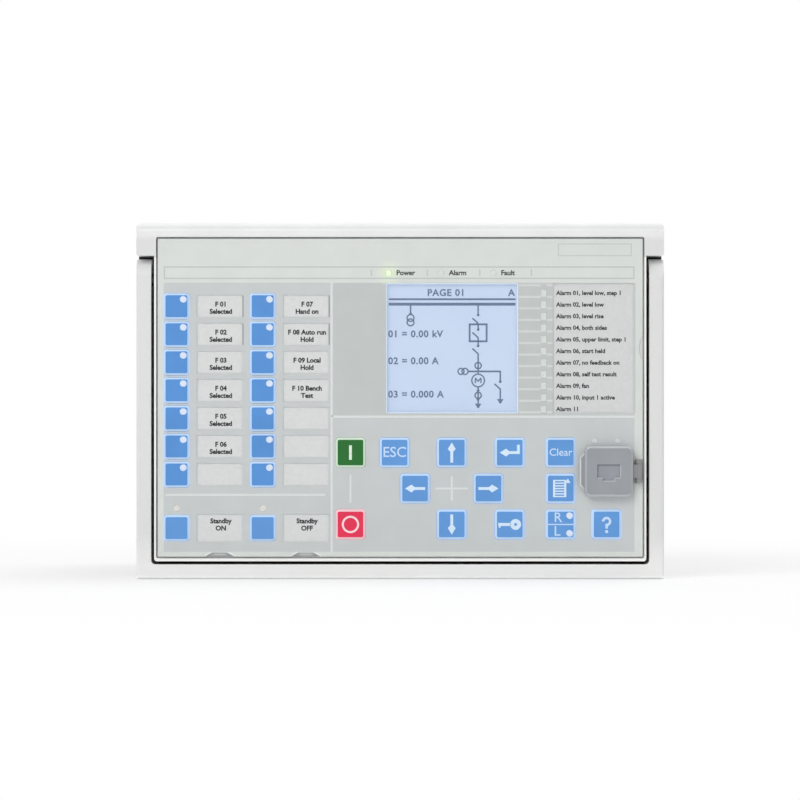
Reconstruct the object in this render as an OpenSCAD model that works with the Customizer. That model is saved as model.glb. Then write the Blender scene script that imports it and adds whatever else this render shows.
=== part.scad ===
// Protection relay for flush mounting: a withdrawable unit in a sheet-metal case.
// The panel seat lies in the plane y = 0, the front faces -Y and +Z is up.

/* [Front frame] */
// Overall width of the front
frame_w = 262.2; // [236:0.2:290]
// Overall height of the front
frame_h = 177; // [159:0.5:200]
// Distance from the panel seat to the front edge of the frame
frame_depth = 43.5; // [38:0.5:60]
// Height of the bar over the operator panel
top_bar_h = 7.1; // [6:0.1:10]
// Height of the ears at the ends of the top bar
ear_h = 16.4; // [12:0.2:24]
// Width of the rim at the sides of the operator panel
rim_w = 0.9; // [0.8:0.1:2.5]
// Height of the rim under the operator panel
sill_h = 1.4; // [0.8:0.1:3]
// Gap between the rim and the operator panel
moat_w = 0.9; // [0.4:0.1:1.5]
// Depth of the operator panel's face behind the rim
face_recess = 0.6; // [0.2:0.1:1.5]
// Radius of the upper outer corners
frame_corner_r = 3; // [1:0.5:6]
// Radius of the lower corners of the rim
rim_corner_r = 1.4; // [1:0.2:4]
// Depth of the groove along the top bar
groove_depth = 0.4; // [0.2:0.1:1]

/* [Pull handle] */
// Width of each side arm
arm_w = 7.3; // [6:0.1:9]
// Height of the grip bar
grip_h = 7.2; // [5:0.1:9]
// Gap between the handle and the rim
handle_gap = 1.6; // [0.6:0.1:2]
// Gap between an arm and the ear over it
ear_gap = 1.5; // [0.4:0.1:2]
// Set-back of the handle's face behind the frame's front edge
handle_setback = 0.3; // [0.1:0.1:2]
// Diameter of the pivot pins
pivot_d = 6; // [4:0.5:8]
// Radius of the handle's outer edges
handle_edge_r = 1.5; // [0.5:0.1:3]

/* [Case] */
// Overhang of the frame past each side of the case
side_overhang = 8.1; // [6:0.1:12]
// Overhang of the frame above and below the case
edge_overhang = 8.5; // [7:0.1:12]
// Depth of the case behind the panel seat
case_depth = 140; // [130:1:180]
// Thickness of the case sheet
sheet_t = 1.5; // [1:0.1:2]
// Depth of the mounting frame and gasket in front of the panel
collar_depth = 22; // [14:0.5:26]
// Thickness of the panel gasket
gasket_t = 2; // [1:0.5:4]
// Diameter of the tapped holes for the panel clamps
clamp_hole_d = 5; // [3:0.5:6]
// Height between the two clamp holes of a side
clamp_pitch = 90; // [60:1:110]
// Distance of the clamp holes behind the panel seat
clamp_depth = 30; // [20:1:60]

/* [Operator panel] */
// Thickness of the moulded panel plate
panel_t = 2.4; // [2:0.1:3]
// Thickness of the printed film
film_t = 0.4; // [0.3:0.1:0.6]
// Height of the header over the display
header_h = 22.2; // [20:0.1:26]
// Height of the key field under the display
key_field_h = 71.3; // [70:0.1:78]
// Share of the panel's width that the display takes
display_share = 0.2716; // [0.2:0.0001:0.28]
// Thickness of the display window
window_t = 1.2; // [0.8:0.1:1.6]
// Gap between a label window and the keys beside it
label_gap = 3.7; // [2:0.1:5]
// Set-back of a label window's edges from the key's upper and lower edge
label_inset = 0.8; // [0.2:0.1:1.5]
// Thickness of a label strip
strip_t = 0.3; // [0.2:0.05:0.5]
// Distance of the alarm list's label window from the panel's right edge
alarm_margin = 4.4; // [3:0.1:8]
// Number of alarm indicators
alarm_rows = 11; // [1:1:11]
// Distance of the first alarm indicator under the window's upper edge
alarm_drop = 4.8; // [2.5:0.1:6]
// Distance of the last alarm indicator over the window's lower edge
alarm_rise = 1.9; // [1.9:0.1:5]

/* [Keys] */
// Share of a row's height that a function key takes
function_share = 0.9189; // [0.8:0.0001:0.93]
// Share of the panel's width that a command key takes
command_share = 0.06188; // [0.05:0.0001:0.063]
// Share of a key's width that its bevel takes at each side
bevel_share = 0.075; // [0.03:0.001:0.08]
// Radius of the corners of a key's face
key_corner_r = 0.8; // [0.4:0.1:1.5]
// Height of a key's face over the film
key_lift = 0.8; // [0.6:0.1:1.5]
// Gap round a key
key_gap = 0.15; // [0.1:0.05:0.4]
// Stroke of a key
key_travel = 0.4; // [0.2:0.1:0.6]
// Rows of function keys in the upper field
function_rows = 7; // [7]
// Distance of the first row of function keys under the panel's upper edge
function_drop = 33.5; // [30:0.1:36]
// Distance of the lone lower row over the panel's lower edge
emergency_rise = 14.2; // [13:0.1:18]
// Height between the lone lower row and the rows over it
emergency_pitch = 26.62; // [24:0.01:30]
// Distance between the two columns of function keys as a share of the panel's width
column_share = 0.17774; // [0.17:0.0001:0.18]
// Height between two rows of command keys
command_pitch = 17.85; // [17:0.05:18.5]
// Share of a function key's size that its light pipe takes
pipe_share = 0.25; // [0.15:0.01:0.27]

/* [Service port] */
// Share of the panel's width that the port cover takes
cover_share = 0.09967; // [0.085:0.0001:0.1]
// Thickness of the port cover
cover_t = 4.85; // [4.6:0.05:7]
// Width of the socket's mouth
socket_w = 11.8; // [11.6:0.1:12.4]
// Height of the socket's mouth
socket_h = 6.8; // [6.6:0.1:7.4]
// Diameter of the cover's hinge pin
hinge_d = 1.6; // [1.2:0.1:2]

/* [Unit and rear] */
// Thickness of the chassis sheet
chassis_t = 1.2; // [0.8:0.1:2]
// Room between the chassis and the sides of the case
side_room = 2; // [1.2:0.1:3]
// Room between the chassis and the case below and above
rail_room = 2.5; // [1.5:0.1:4]
// Depth of the chassis behind the panel seat
chassis_depth = 82; // [70:1:88]
// Thickness of the circuit boards
board_t = 1.6; // [1:0.1:2.4]
// Distance between two circuit boards
board_pitch = 65; // [55:1:70]
// Height of the terminal blocks behind the case
terminal_h = 13; // [10:0.5:20]
// Rows of screws on a signal terminal block
terminal_rows = 10; // [4:1:12]
// Diameter of the earth stud
stud_d = 6; // [4:0.5:8]

/* [Hidden] */
$fn = 48;
running_gap = 0.05;
part_gap = 0.3;
slip_gap = 0.1;

// Depth planes of the front
front_y = -frame_depth;
collar_y = -collar_depth;
frame_rear_y = collar_y - part_gap;
film_y = front_y + face_recess;
plate_y = film_y + film_t;
plate_rear_y = plate_y + panel_t;

// Chassis and case sizes
case_w = frame_w - 2 * side_overhang;
case_h = frame_h - 2 * edge_overhang;
case_in_w = case_w - 2 * sheet_t;
case_in_h = case_h - 2 * sheet_t;
chassis_w = case_in_w - 2 * side_room;
chassis_h = case_in_h - 2 * rail_room;
chassis_lip = 1;
opening_w = chassis_w - 2 * (chassis_t + chassis_lip);
opening_h = chassis_h - 2 * (chassis_t + chassis_lip);
case_front_y = collar_y + 0.5;

// Rim and operator panel
rim_right = frame_w / 2 - arm_w - handle_gap;
rim_bottom = -frame_h / 2 + grip_h + handle_gap;
recess_right = rim_right - rim_w;
recess_top = frame_h / 2 - top_bar_h;
recess_bottom = rim_bottom + sill_h;
panel_right = recess_right - moat_w;
panel_left = -panel_right;
panel_top = recess_top - moat_w;
panel_bottom = recess_bottom + moat_w;
panel_w = 2 * panel_right;
panel_h = panel_top - panel_bottom;
panel_mid = (panel_top + panel_bottom) / 2;
function across(share) = panel_left + share * panel_w;
// Nearest twentieth of a millimetre
function settled(size) = round(20 * size) / 20;
panel_corner_r = 0.6;
panel_ledge = 1.2;
pocket_right = panel_right - panel_ledge;
frame_web = 3;

// Handle
handle_front_y = front_y + handle_setback;
handle_rear_y = frame_rear_y - 0.2;
handle_depth = handle_rear_y - handle_front_y;
arm_top = frame_h / 2 - ear_h - ear_gap;
pivot_y = (handle_front_y + handle_rear_y) / 2;
pivot_z = arm_top - handle_depth / 2;
pivot_reach = arm_w - 2;

// Function keys: columns from the panel's left edge, rows between its top and bottom edges
function_z = panel_top - function_drop;
emergency_z = panel_bottom + emergency_rise;
function_low = emergency_z + emergency_pitch;
function_pitch = (function_z - function_low) / (function_rows - 1);
function_key = settled(function_share * function_pitch);
function_edge = 2.9;
function_x = panel_left + function_edge + function_key / 2;
function_columns = column_share * panel_w;
emergency_label_h = function_key + 1;
emergency_lamp_rise = function_key / 2 + 3.4;
function_count = 2 * function_rows + 2;
label_x = function_x + function_columns / 2;
label_w = function_columns - function_key - 2 * label_gap;
label_h = function_key - 2 * label_inset;
strip_margin = 1.4;
pipe_d = pipe_share * function_key;
pipe_offset = [0.2656, 0.2656] * function_key;

function key_column(i) = function_x + (i % 2) * function_columns;
function key_row(i) =
    i < 2 * function_rows
    ? function_z - floor(i / 2) * function_pitch
    : emergency_z;

// Command keys: columns across the panel, rows from its bottom edge
command_key = settled(command_share * panel_w);
command_low = panel_bottom + 16;
command_mid = command_low + command_pitch;
command_top = command_mid + command_pitch;
switch_x = across(0.3974);
escape_x = across(0.4884);
arrow_x = across(0.6063);
arrow_spread = 0.0756 * panel_w;
enter_x = across(0.7259);
clear_x = across(0.831);
help_x = across(0.9257);
command_keys = [
    ["close_key", switch_x, command_top, "seagreen"],
    ["open_key", switch_x, command_low, "crimson"],
    ["escape_key", escape_x, command_top, "cornflowerblue"],
    ["up_key", arrow_x, command_top, "cornflowerblue"],
    ["left_key", arrow_x - arrow_spread, command_mid, "cornflowerblue"],
    ["right_key", arrow_x + arrow_spread, command_mid, "cornflowerblue"],
    ["down_key", arrow_x, command_low, "cornflowerblue"],
    ["enter_key", enter_x, command_top, "cornflowerblue"],
    ["login_key", enter_x, command_low, "cornflowerblue"],
    ["clear_key", clear_x, command_top, "cornflowerblue"],
    ["menu_key", clear_x, command_mid, "cornflowerblue"],
    ["remote_local_key", clear_x, command_low, "cornflowerblue"],
    ["help_key", help_x, command_low, "cornflowerblue"]
];
remote_local = 11;
remote_dots = [[0.295, 0.295], [0.295, -0.295]] * command_key;

// Depth planes behind the operator panel
key_face_y = film_y - key_lift;
key_bevel_h = 0.5;
function key_bevel(size) = settled(bevel_share * size);
key_rim_w = 1.1;
key_rim_t = 1;
key_rim_y = plate_rear_y + running_gap;
rod_end_y = key_rim_y + key_rim_t + 0.35;
dome_h = 0.7;
keypad_y = rod_end_y + key_travel + part_gap + dome_h;
keypad_t = 1.6;
pipe_clearance = 0.15;

// Display
display_w = display_share * panel_w;
display_h = panel_h - header_h - key_field_h;
display_x = across(0.60735);
display_z = panel_top - header_h - display_h / 2;
window_lip = 1.5;
window_y = plate_y + slip_gap / 2;
glass_y = plate_y + window_t + 2 * slip_gap;
module_margin = 3;
module_t = 5.5;

// Indicators
lens_clearance = 0.1;
lens_proud = 0.1;
alarm_x = across(0.7961);
alarm_z = panel_top - header_h - alarm_drop;
alarm_pitch = (display_h - alarm_drop - alarm_rise) / max(alarm_rows - 1, 1);
alarm_lens = [2.6, 3.6];
alarm_label_x = across(0.8156);
alarm_label_w = panel_right - alarm_margin - alarm_label_x;
status_x = across(0.4759);
status_z = panel_top - header_h + 5.2;
status_pitch = 0.108 * panel_w;
status_count = 3;
round_lens_r = 1.5;

// Service port and its cover
cover_size = settled(cover_share * panel_w);
cover_h = cover_size + 1;
hinge_x = panel_right - 1.8;
port_x = hinge_x - cover_size / 2 - 3.1;
port_z = panel_bottom + 42.4;
port_lamp_r = 1.2;
port_lamps = [[-6.9, 15.2], [4.7, 15.2]];
socket_depth = 11.5;
jack_w = socket_w + 3.8;
jack_h = socket_h + 8;
jack_y = film_y + 0.1;
jack_depth = socket_depth + 3;
cover_rear_y = film_y - 0.25;
cover_front_y = cover_rear_y - cover_t;
hinge_y = cover_rear_y - 1.85;
knuckle_r = 1.5;
knuckle_h = 7.4;
lug_t = 1.8;
lug_r = 1.65;
lug_gap = 0.2;

// Boards and backplane
board_mid_x = -5;
board_front_y = frame_rear_y + 2;
board_rear_y = chassis_depth - 2;
board_h = chassis_h - 2 * chassis_t;
board_l = board_rear_y - board_front_y;
tongue_h = 0.535 * board_h;
tongue_l = 9;
socket_gap = 0.5;
socket_y = chassis_depth + socket_gap;
slot_depth = 7.5;
card_socket_d = 10.5;
backplane_y = socket_y + card_socket_d;
backplane_t = 2;

// Rear of the case
rear_y = case_depth;
rear_in_y = rear_y - sheet_t;
block_inner = 12;
signal_block_w = 24;
block_margin = 17.5;
signal_block_h = case_in_h - 2 * block_margin;
signal_x = [-0.2634, -0.0905, 0.0823] * case_in_w;
signal_screw_r = 2;
signal_row_pitch = (signal_block_h - 10) / terminal_rows;
current_x = 0.3374 * case_in_w;
current_block_w = 42;
current_rows = 6;
current_row_pitch = (signal_block_h - 2) / current_rows;
current_base = terminal_h / 2;
current_screw_r = 3.6;
block_step = 3;
rear_left_x = -0.4095 * case_in_w;
lan_z = [0.293, 0.1401, -0.0127] * case_in_h;
lan_depth = 16;
stud_z = -0.3312 * case_in_h;
stud_l = 13;
corner_tab = 12;
tab_t = 2.5;
screw_r = 1.5;
screw_inset = 6;

// Rectangle with round corners, centred on the origin
module rounded_rect(w, h, r) {
    square([w - 2 * r, h], center = true);
    square([w, h - 2 * r], center = true);
    for (sx = [-1, 1], sy = [-1, 1])
        translate([sx * (w / 2 - r), sy * (h / 2 - r)])
            circle(r);
}

// Front-view outline (x, z) given a depth from y0 to y1
module front_slab(y0, y1) {
    translate([0, y1, 0])
        rotate([90, 0, 0])
            linear_extrude(y1 - y0)
                children();
}

// Side-view outline (y, z) given a width from x0 to x1
module side_slab(x0, x1) {
    translate([x0, 0, 0])
        rotate([90, 0, 90])
            linear_extrude(x1 - x0)
                children();
}

// Plan-view outline (x, y) given a height from z0 to z1
module plan_slab(z0, z1) {
    translate([0, 0, z0])
        linear_extrude(z1 - z0)
            children();
}

// Round bar along Y from depth y0 to depth y1
module depth_rod(x, z, r, y0, y1) {
    translate([x, y0, z])
        rotate([-90, 0, 0])
            cylinder(h = y1 - y0, r = r);
}

// Block centred on (x, z) from depth y0 to depth y1
module depth_block(x, z, w, h, y0, y1) {
    translate([x - w / 2, y0, z - h / 2])
        cube([w, y1 - y0, h]);
}

// Block with a bevelled front face; r is the radius of the face's corners
module bevelled_block(w, h, r, bevel, bevel_h, y0, y1) {
    outer_r = r + bevel;
    flat_w = w / 2 - outer_r;
    flat_h = h / 2 - outer_r;
    front_slab(y0 + bevel_h, y1)
        rounded_rect(w, h, outer_r);
    plan_slab(-flat_h, flat_h)
        polygon([
            [-w / 2 + bevel, y0], [w / 2 - bevel, y0], [w / 2, y0 + bevel_h], [-w / 2, y0 + bevel_h]
        ]);
    side_slab(-flat_w, flat_w)
        polygon([
            [y0, -h / 2 + bevel], [y0, h / 2 - bevel], [y0 + bevel_h, h / 2], [y0 + bevel_h, -h / 2]
        ]);
    for (sx = [-1, 1], sz = [-1, 1])
        translate([sx * flat_w, y0, sz * flat_h])
            rotate([-90, 0, 0])
                cylinder(h = bevel_h, r1 = r, r2 = outer_r);
}

// Case

// U-shaped sheet with rear corner tabs and tapped holes for the panel clamps
module case_tray() {
    wall_h = case_h - sheet_t;
    color("gainsboro")
        difference() {
            union() {
                front_slab(case_front_y, rear_y)
                    translate([0, -sheet_t / 2])
                        difference() {
                            square([case_w, wall_h], center = true);
                            translate([0, sheet_t])
                                square([case_in_w, wall_h], center = true);
                        }
                for (sx = [-1, 1], sz = [-1, 1])
                    depth_block(
                        sx * (case_in_w - corner_tab + sheet_t) / 2, sz * (case_in_h - corner_tab) / 2,
                        corner_tab + sheet_t, corner_tab, rear_in_y - tab_t, rear_in_y
                    );
            }
            for (sz = [-1, 1])
                translate([-case_w, clamp_depth, sz * clamp_pitch / 2])
                    rotate([0, 90, 0])
                        cylinder(h = 2 * case_w, d = clamp_hole_d);
            screw_places()
                depth_rod(0, 0, screw_r + running_gap, rear_in_y - tab_t - 1, rear_y);
        }
}

// Places of the rear panel's screws
module screw_places() {
    for (sx = [-1, 1], sz = [-1, 1])
        translate([sx * (case_in_w / 2 - screw_inset), 0, sz * (case_in_h / 2 - screw_inset)])
            children();
}

module case_cover() {
    color("gainsboro")
        depth_block(0, (case_h - sheet_t) / 2, case_w, sheet_t, case_front_y, rear_y);
}

// Plate with the cut-outs of the terminals and stand-offs for the backplane
module rear_panel() {
    post_r = 3.5;
    color("gainsboro")
        difference() {
            union() {
                depth_block(0, 0, case_in_w, case_in_h, rear_in_y, rear_y);
                for (x = [-case_in_w / 2 + 8, case_in_w / 2 - 8], sz = [-1, 1])
                    depth_rod(x, sz * case_in_h * 0.28, post_r, backplane_y + backplane_t, rear_in_y);
            }
            for (x = signal_x)
                block_hole(x, signal_block_w);
            block_hole(current_x, current_block_w);
            for (z = lan_z)
                depth_block(
                    rear_left_x, z, jack_w + 2 * part_gap, jack_h + 2 * part_gap, rear_in_y - 1, rear_y + 1
                );
            depth_rod(rear_left_x, stud_z, stud_d / 2 + slip_gap, rear_in_y - 1, rear_y + 1);
            screw_places()
                depth_rod(0, 0, screw_r + slip_gap, rear_in_y - 1, rear_y + 1);
        }
}

module block_hole(x, block_w) {
    depth_block(
        x, 0, block_w - 2 * block_step + part_gap, signal_block_h - 2 * block_step + part_gap,
        rear_in_y - 1, rear_y + 1
    );
}

module mounting_frame() {
    color("whitesmoke")
        front_slab(collar_y, -gasket_t)
            difference() {
                rounded_rect(frame_w, frame_h, frame_corner_r);
                square([case_w, case_h], center = true);
            }
}

module panel_gasket() {
    gasket_inset = 2;
    color("dimgray")
        front_slab(-gasket_t, 0)
            difference() {
                rounded_rect(frame_w - 2 * gasket_inset, frame_h - 2 * gasket_inset, frame_corner_r);
                square([case_w, case_h], center = true);
            }
}

// Four strips that carry and centre the chassis
module guide_rails() {
    rail_w = 10;
    rail_h = rail_room - part_gap;
    rail_front_y = 2;
    color("dimgray")
        for (sx = [-1, 1], sz = [-1, 1])
            depth_block(
                sx * chassis_w * 0.4, sz * (case_in_h - rail_h) / 2,
                rail_w, rail_h, rail_front_y, chassis_depth
            );
}

module backplane_board() {
    color("darkgreen")
        depth_block(
            0, 0, case_in_w - 6, case_in_h * 0.8, backplane_y, backplane_y + backplane_t
        );
}

// One slotted socket for the tongue of each board
module backplane_sockets() {
    socket_body_w = 9;
    color("black")
        for (i = [-1 : 1])
            difference() {
                depth_block(
                    board_mid_x + i * board_pitch, 0, socket_body_w, tongue_h + 10, socket_y, backplane_y
                );
                depth_block(
                    board_mid_x + i * board_pitch, 0, board_t + 2 * part_gap, tongue_h + 2,
                    socket_y - 1, board_rear_y + tongue_l + 1
                );
            }
}

// Three signal blocks with screw wells and wire entries, and one current block with barriers
module terminal_blocks() {
    color("darkseagreen")
        for (x = signal_x)
            signal_block(x);
    color("dimgray")
        current_block();
}

module block_body(x, w) {
    depth_block(
        x, 0, w - 2 * block_step, signal_block_h - 2 * block_step, rear_in_y - block_inner, rear_y
    );
}

module signal_block(x) {
    entry_size = 3.6;
    entry_depth = 6;
    well_depth = 3;
    difference() {
        union() {
            block_body(x, signal_block_w);
            depth_block(x, 0, signal_block_w, signal_block_h, rear_y, rear_y + terminal_h);
        }
        signal_places(x) {
            depth_rod(0, 0, signal_screw_r + part_gap, rear_y + terminal_h - well_depth, rear_y + 100);
            depth_block(
                signal_side($side), 0, entry_size, entry_size,
                rear_y + terminal_h - entry_depth, rear_y + 100
            );
        }
    }
}

function signal_side(side) = side * 5.2;

// Screw places of a signal block, with the side of its column
module signal_places(x) {
    for ($side = [-1, 1], i = [0 : terminal_rows - 1])
        translate([x + $side * 4, 0, (i - (terminal_rows - 1) / 2) * signal_row_pitch])
            children();
}

module current_block() {
    barrier_t = 2.2;
    difference() {
        union() {
            block_body(current_x, current_block_w);
            depth_block(current_x, 0, current_block_w, signal_block_h, rear_y, rear_y + terminal_h);
        }
        current_places()
            depth_block(
                $side * barrier_t / 2, 0, current_block_w / 2, current_row_pitch - barrier_t,
                rear_y + current_base, rear_y + 100
            );
    }
}

// Screw places of the current block
module current_places() {
    for ($side = [-1, 1], i = [0 : current_rows - 1])
        translate([
            current_x + $side * current_block_w / 4, 0,
            (i - (current_rows - 1) / 2) * current_row_pitch
        ])
            children();
}

module slotted_screw(r, y0, y1) {
    difference() {
        depth_rod(0, 0, r, y0, y1);
        depth_block(0, 0, r / 2.5, 3 * r, y1 - (y1 - y0) / 2, y1 + 1);
    }
}

module terminal_screws() {
    color("silver") {
        for (x = signal_x)
            signal_places(x)
                slotted_screw(signal_screw_r, rear_y + terminal_h - 3, rear_y + terminal_h - 1);
        current_places()
            translate([$side, 0, 0])
                slotted_screw(current_screw_r, rear_y + current_base, rear_y + current_base + 2.6);
    }
}

// Modular socket with a latch notch; its mouth is at y = 0 and opens towards -Y
module modular_socket(depth) {
    notch_w = 6;
    notch_h = 1.6;
    difference() {
        depth_block(0, 0, jack_w, jack_h, 0, depth);
        depth_block(0, 0, socket_w, socket_h, -1, socket_depth);
        depth_block(0, -socket_h / 2, notch_w, 2 * notch_h, -1, socket_depth);
    }
}

module lan_sockets() {
    color("silver")
        for (z = lan_z)
            translate([rear_left_x, rear_y + 1, z])
                mirror([0, 1, 0])
                    modular_socket(lan_depth);
}

// Laminated cores with wound coils on the back of the current block
module current_transformers() {
    block_end = rear_in_y - block_inner;
    coil_l = block_end - backplane_y - backplane_t - 3;
    pitch = (signal_block_h - 2 * block_step) / 4;
    core = [34, 9, 0.759 * pitch];
    coil = [24, 0.586 * pitch];
    color("saddlebrown")
        for (i = [0 : 3])
            translate([current_x, 0, (i - 1.5) * pitch]) {
                front_slab(block_end - coil_l, block_end)
                    rounded_rect(coil[0], coil[1], 4);
                depth_block(
                    0, 0, core[0], core[2],
                    block_end - coil_l / 2 - core[1] / 2, block_end - coil_l / 2 + core[1] / 2
                );
            }
}

// Stud with its head inside, a washer and a hexagon nut
module earth_stud() {
    head_t = 2.5;
    washer_t = 1;
    nut_t = 5;
    tip_step = 0.4;
    bore = stud_d / 2 + running_gap;
    color("goldenrod")
        translate([rear_left_x, 0, stud_z]) {
            depth_rod(0, 0, stud_d / 2, rear_in_y - head_t, rear_y + washer_t + nut_t);
            depth_rod(0, 0, stud_d / 2 - tip_step, rear_y, rear_y + stud_l);
            depth_rod(0, 0, stud_d * 0.85, rear_in_y - head_t, rear_in_y);
            difference() {
                depth_rod(0, 0, stud_d, rear_y, rear_y + washer_t);
                depth_rod(0, 0, bore, rear_y - 1, rear_y + washer_t + 1);
            }
            difference() {
                translate([0, rear_y + washer_t, 0])
                    rotate([-90, 0, 0])
                        cylinder(h = nut_t, d = stud_d * 1.92, $fn = 6);
                depth_rod(0, 0, bore, rear_y, rear_y + washer_t + nut_t + 1);
            }
        }
}

module case_screws() {
    head_r = 3;
    head_t = 2;
    color("silver")
        screw_places() {
            slotted_screw(head_r, rear_y, rear_y + head_t);
            depth_rod(0, 0, screw_r, rear_in_y - tab_t - 2, rear_y);
        }
}

// Withdrawable unit

// Outline of the frame: the band with the ears and the block round the operator panel
module frame_outline() {
    block_h = recess_top - rim_bottom;
    translate([0, (frame_h - ear_h) / 2])
        difference() {
            rounded_rect(frame_w, ear_h, 1);
            for (sx = [-1, 1])
                translate([sx * frame_w / 2, ear_h / 2])
                    square(2 * frame_corner_r, center = true);
        }
    for (sx = [-1, 1])
        translate([sx * (frame_w / 2 - frame_corner_r), frame_h / 2 - frame_corner_r])
            circle(frame_corner_r);
    translate([0, rim_bottom + block_h / 2])
        rounded_rect(2 * rim_right, block_h, rim_corner_r);
}

// Top bar, ears and rim in one moulding, with a ledge for the operator panel
module front_frame() {
    recess_h = recess_top - recess_bottom;
    top_r = 2.2;
    groove_z = frame_h / 2 - 3;
    groove_half = 1.3;
    color("whitesmoke")
        difference() {
            intersection() {
                front_slab(front_y, frame_rear_y)
                    frame_outline();
                side_slab(-frame_w, frame_w)
                    difference() {
                        union() {
                            translate([front_y + top_r, -frame_h])
                                square([frame_depth, 1.5 * frame_h]);
                            translate([front_y, -frame_h])
                                square([frame_depth, 1.5 * frame_h - top_r]);
                            translate([front_y + top_r, frame_h / 2 - top_r])
                                circle(top_r);
                        }
                        polygon([
                            [front_y - 1, groove_z + groove_half], [front_y, groove_z + groove_half],
                            [front_y + groove_depth, groove_z], [front_y, groove_z - groove_half],
                            [front_y - 1, groove_z - groove_half]
                        ]);
                    }
            }
            front_slab(front_y - 1, plate_rear_y)
                translate([0, (recess_top + recess_bottom) / 2])
                    rounded_rect(2 * recess_right, recess_h, panel_corner_r + moat_w / 2);
            depth_block(
                0, panel_mid, 2 * pocket_right, panel_h - 2 * panel_ledge,
                plate_rear_y - 1, frame_rear_y - frame_web
            );
            depth_block(0, 0, opening_w, opening_h, front_y, 0);
            for (sx = [-1, 1])
                translate([sx * (pocket_right + rim_right) / 2, pivot_y, pivot_z])
                    rotate([0, 90, 0])
                        cylinder(
                            h = 2 * (rim_right - pocket_right), d = pivot_d + 2 * running_gap, center = true
                        );
        }
}

// Outline of a key's cap, grown by a clearance
module key_outline(size, grow) {
    rounded_rect(size + 2 * grow, size + 2 * grow, key_corner_r + key_bevel(size) + grow);
}

// Openings that the panel plate and the film share
module face_openings() {
    for (i = [0 : function_count - 1])
        translate([key_column(i), key_row(i)])
            key_outline(function_key, key_gap);
    for (k = command_keys)
        translate([k[1], k[2]])
            key_outline(command_key, key_gap);
    translate([display_x, display_z])
        square([display_w, display_h], center = true);
    translate([port_x, port_z])
        square([jack_w + 2 * slip_gap, jack_h + 2 * slip_gap], center = true);
    lens_outlines(lens_clearance);
}

// Outlines of the indicator lenses, grown by a clearance
module lens_outlines(grow) {
    for (i = [0 : status_count - 1])
        translate([status_x + i * status_pitch, status_z])
            circle(round_lens_r + grow);
    for (i = [0 : alarm_rows - 1])
        translate([alarm_x, alarm_z - i * alarm_pitch])
            square([alarm_lens[0] + 2 * grow, alarm_lens[1] + 2 * grow], center = true);
    for (i = [0, 1])
        translate([key_column(i), emergency_z + emergency_lamp_rise])
            circle(round_lens_r + grow);
    for (p = port_lamps)
        translate([port_x + p[0], port_z + p[1]])
            circle(port_lamp_r + grow);
}

// Places of the strips: the function keys' strips run to the lower edge, the alarm strip to the right
module strip_outlines(grow) {
    strip_w = label_w + 2 * strip_margin + 2 * grow;
    strip_top = function_z + label_h / 2 + strip_margin + grow;
    alarm_h = display_h + 2 * strip_margin + 2 * grow;
    for (i = [0, 1])
        translate([label_x + i * function_columns - strip_w / 2, panel_bottom])
            square([strip_w, strip_top - panel_bottom]);
    translate([alarm_label_x - strip_margin - grow, display_z - alarm_h / 2])
        square([panel_right - alarm_label_x + strip_margin + grow, alarm_h]);
}

// Lugs of the cover's hinge, bored for its pin
module hinge_lugs() {
    for (sz = [-1, 1])
        translate([0, 0, port_z + sz * (knuckle_h / 2 + lug_gap + lug_t / 2) - lug_t / 2])
            linear_extrude(lug_t)
                difference() {
                    union() {
                        translate([hinge_x, hinge_y])
                            circle(lug_r);
                        translate([hinge_x - lug_r, hinge_y])
                            square([2 * lug_r, plate_y + 1 - hinge_y]);
                    }
                    translate([hinge_x, hinge_y])
                        circle(hinge_d / 2 + running_gap);
                }
}

// Moulded plate with the strip pockets in front and bosses for the keypad board behind
module front_panel() {
    boss_r = 3;
    pocket_t = strip_t + slip_gap;
    color("lightgray") {
        difference() {
            union() {
                front_slab(plate_y, plate_rear_y)
                    translate([0, panel_mid])
                        rounded_rect(panel_w, panel_h, panel_corner_r);
                for (x = [label_x, arrow_x, help_x], z = [panel_top - 8, panel_bottom + 4.5])
                    depth_rod(x, z, boss_r, plate_y + 1, keypad_y);
            }
            front_slab(plate_y - 1, plate_rear_y + 1)
                face_openings();
            front_slab(plate_y - 1, plate_y + pocket_t)
                strip_outlines(slip_gap);
            depth_block(
                display_x, display_z, display_w + 2 * window_lip + 2 * slip_gap,
                display_h + 2 * window_lip + 2 * slip_gap, plate_y - 1, window_y + window_t + slip_gap / 2
            );
        }
        hinge_lugs();
    }
}

// Printed film with a window over each label and finger notches at the strips' open ends
module front_film() {
    finger_w = 14.4;
    finger_h = 2;
    moon_r = 11;
    moon_depth = 1.9;
    hinge_h = knuckle_h + 2 * (lug_gap + lug_t + slip_gap);
    color("gainsboro")
        front_slab(film_y, plate_y)
            difference() {
                translate([0, panel_mid])
                    rounded_rect(panel_w, panel_h, panel_corner_r);
                face_openings();
                for (i = [0 : function_count - 1])
                    translate([label_x + (i % 2) * function_columns, key_row(i)])
                        square(
                            [label_w, i < 2 * function_rows ? label_h : emergency_label_h], center = true
                        );
                translate([alarm_label_x, display_z - display_h / 2])
                    square([alarm_label_w, display_h]);
                for (i = [0, 1])
                    translate([label_x + i * function_columns, panel_bottom])
                        polygon([
                            [-finger_w / 2, -1], [-finger_w / 2, 0], [-finger_w / 4, finger_h],
                            [finger_w / 4, finger_h], [finger_w / 2, 0], [finger_w / 2, -1]
                        ]);
                translate([panel_right + moon_r - moon_depth, display_z])
                    circle(moon_r);
                translate([hinge_x - lug_r - slip_gap, port_z - hinge_h / 2])
                    square([2 * lug_r + 2 * slip_gap, hinge_h]);
            }
}

module display_window() {
    color("lightsteelblue")
        depth_block(
            display_x, display_z, display_w + 2 * window_lip, display_h + 2 * window_lip,
            window_y, window_y + window_t
        );
}

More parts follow.
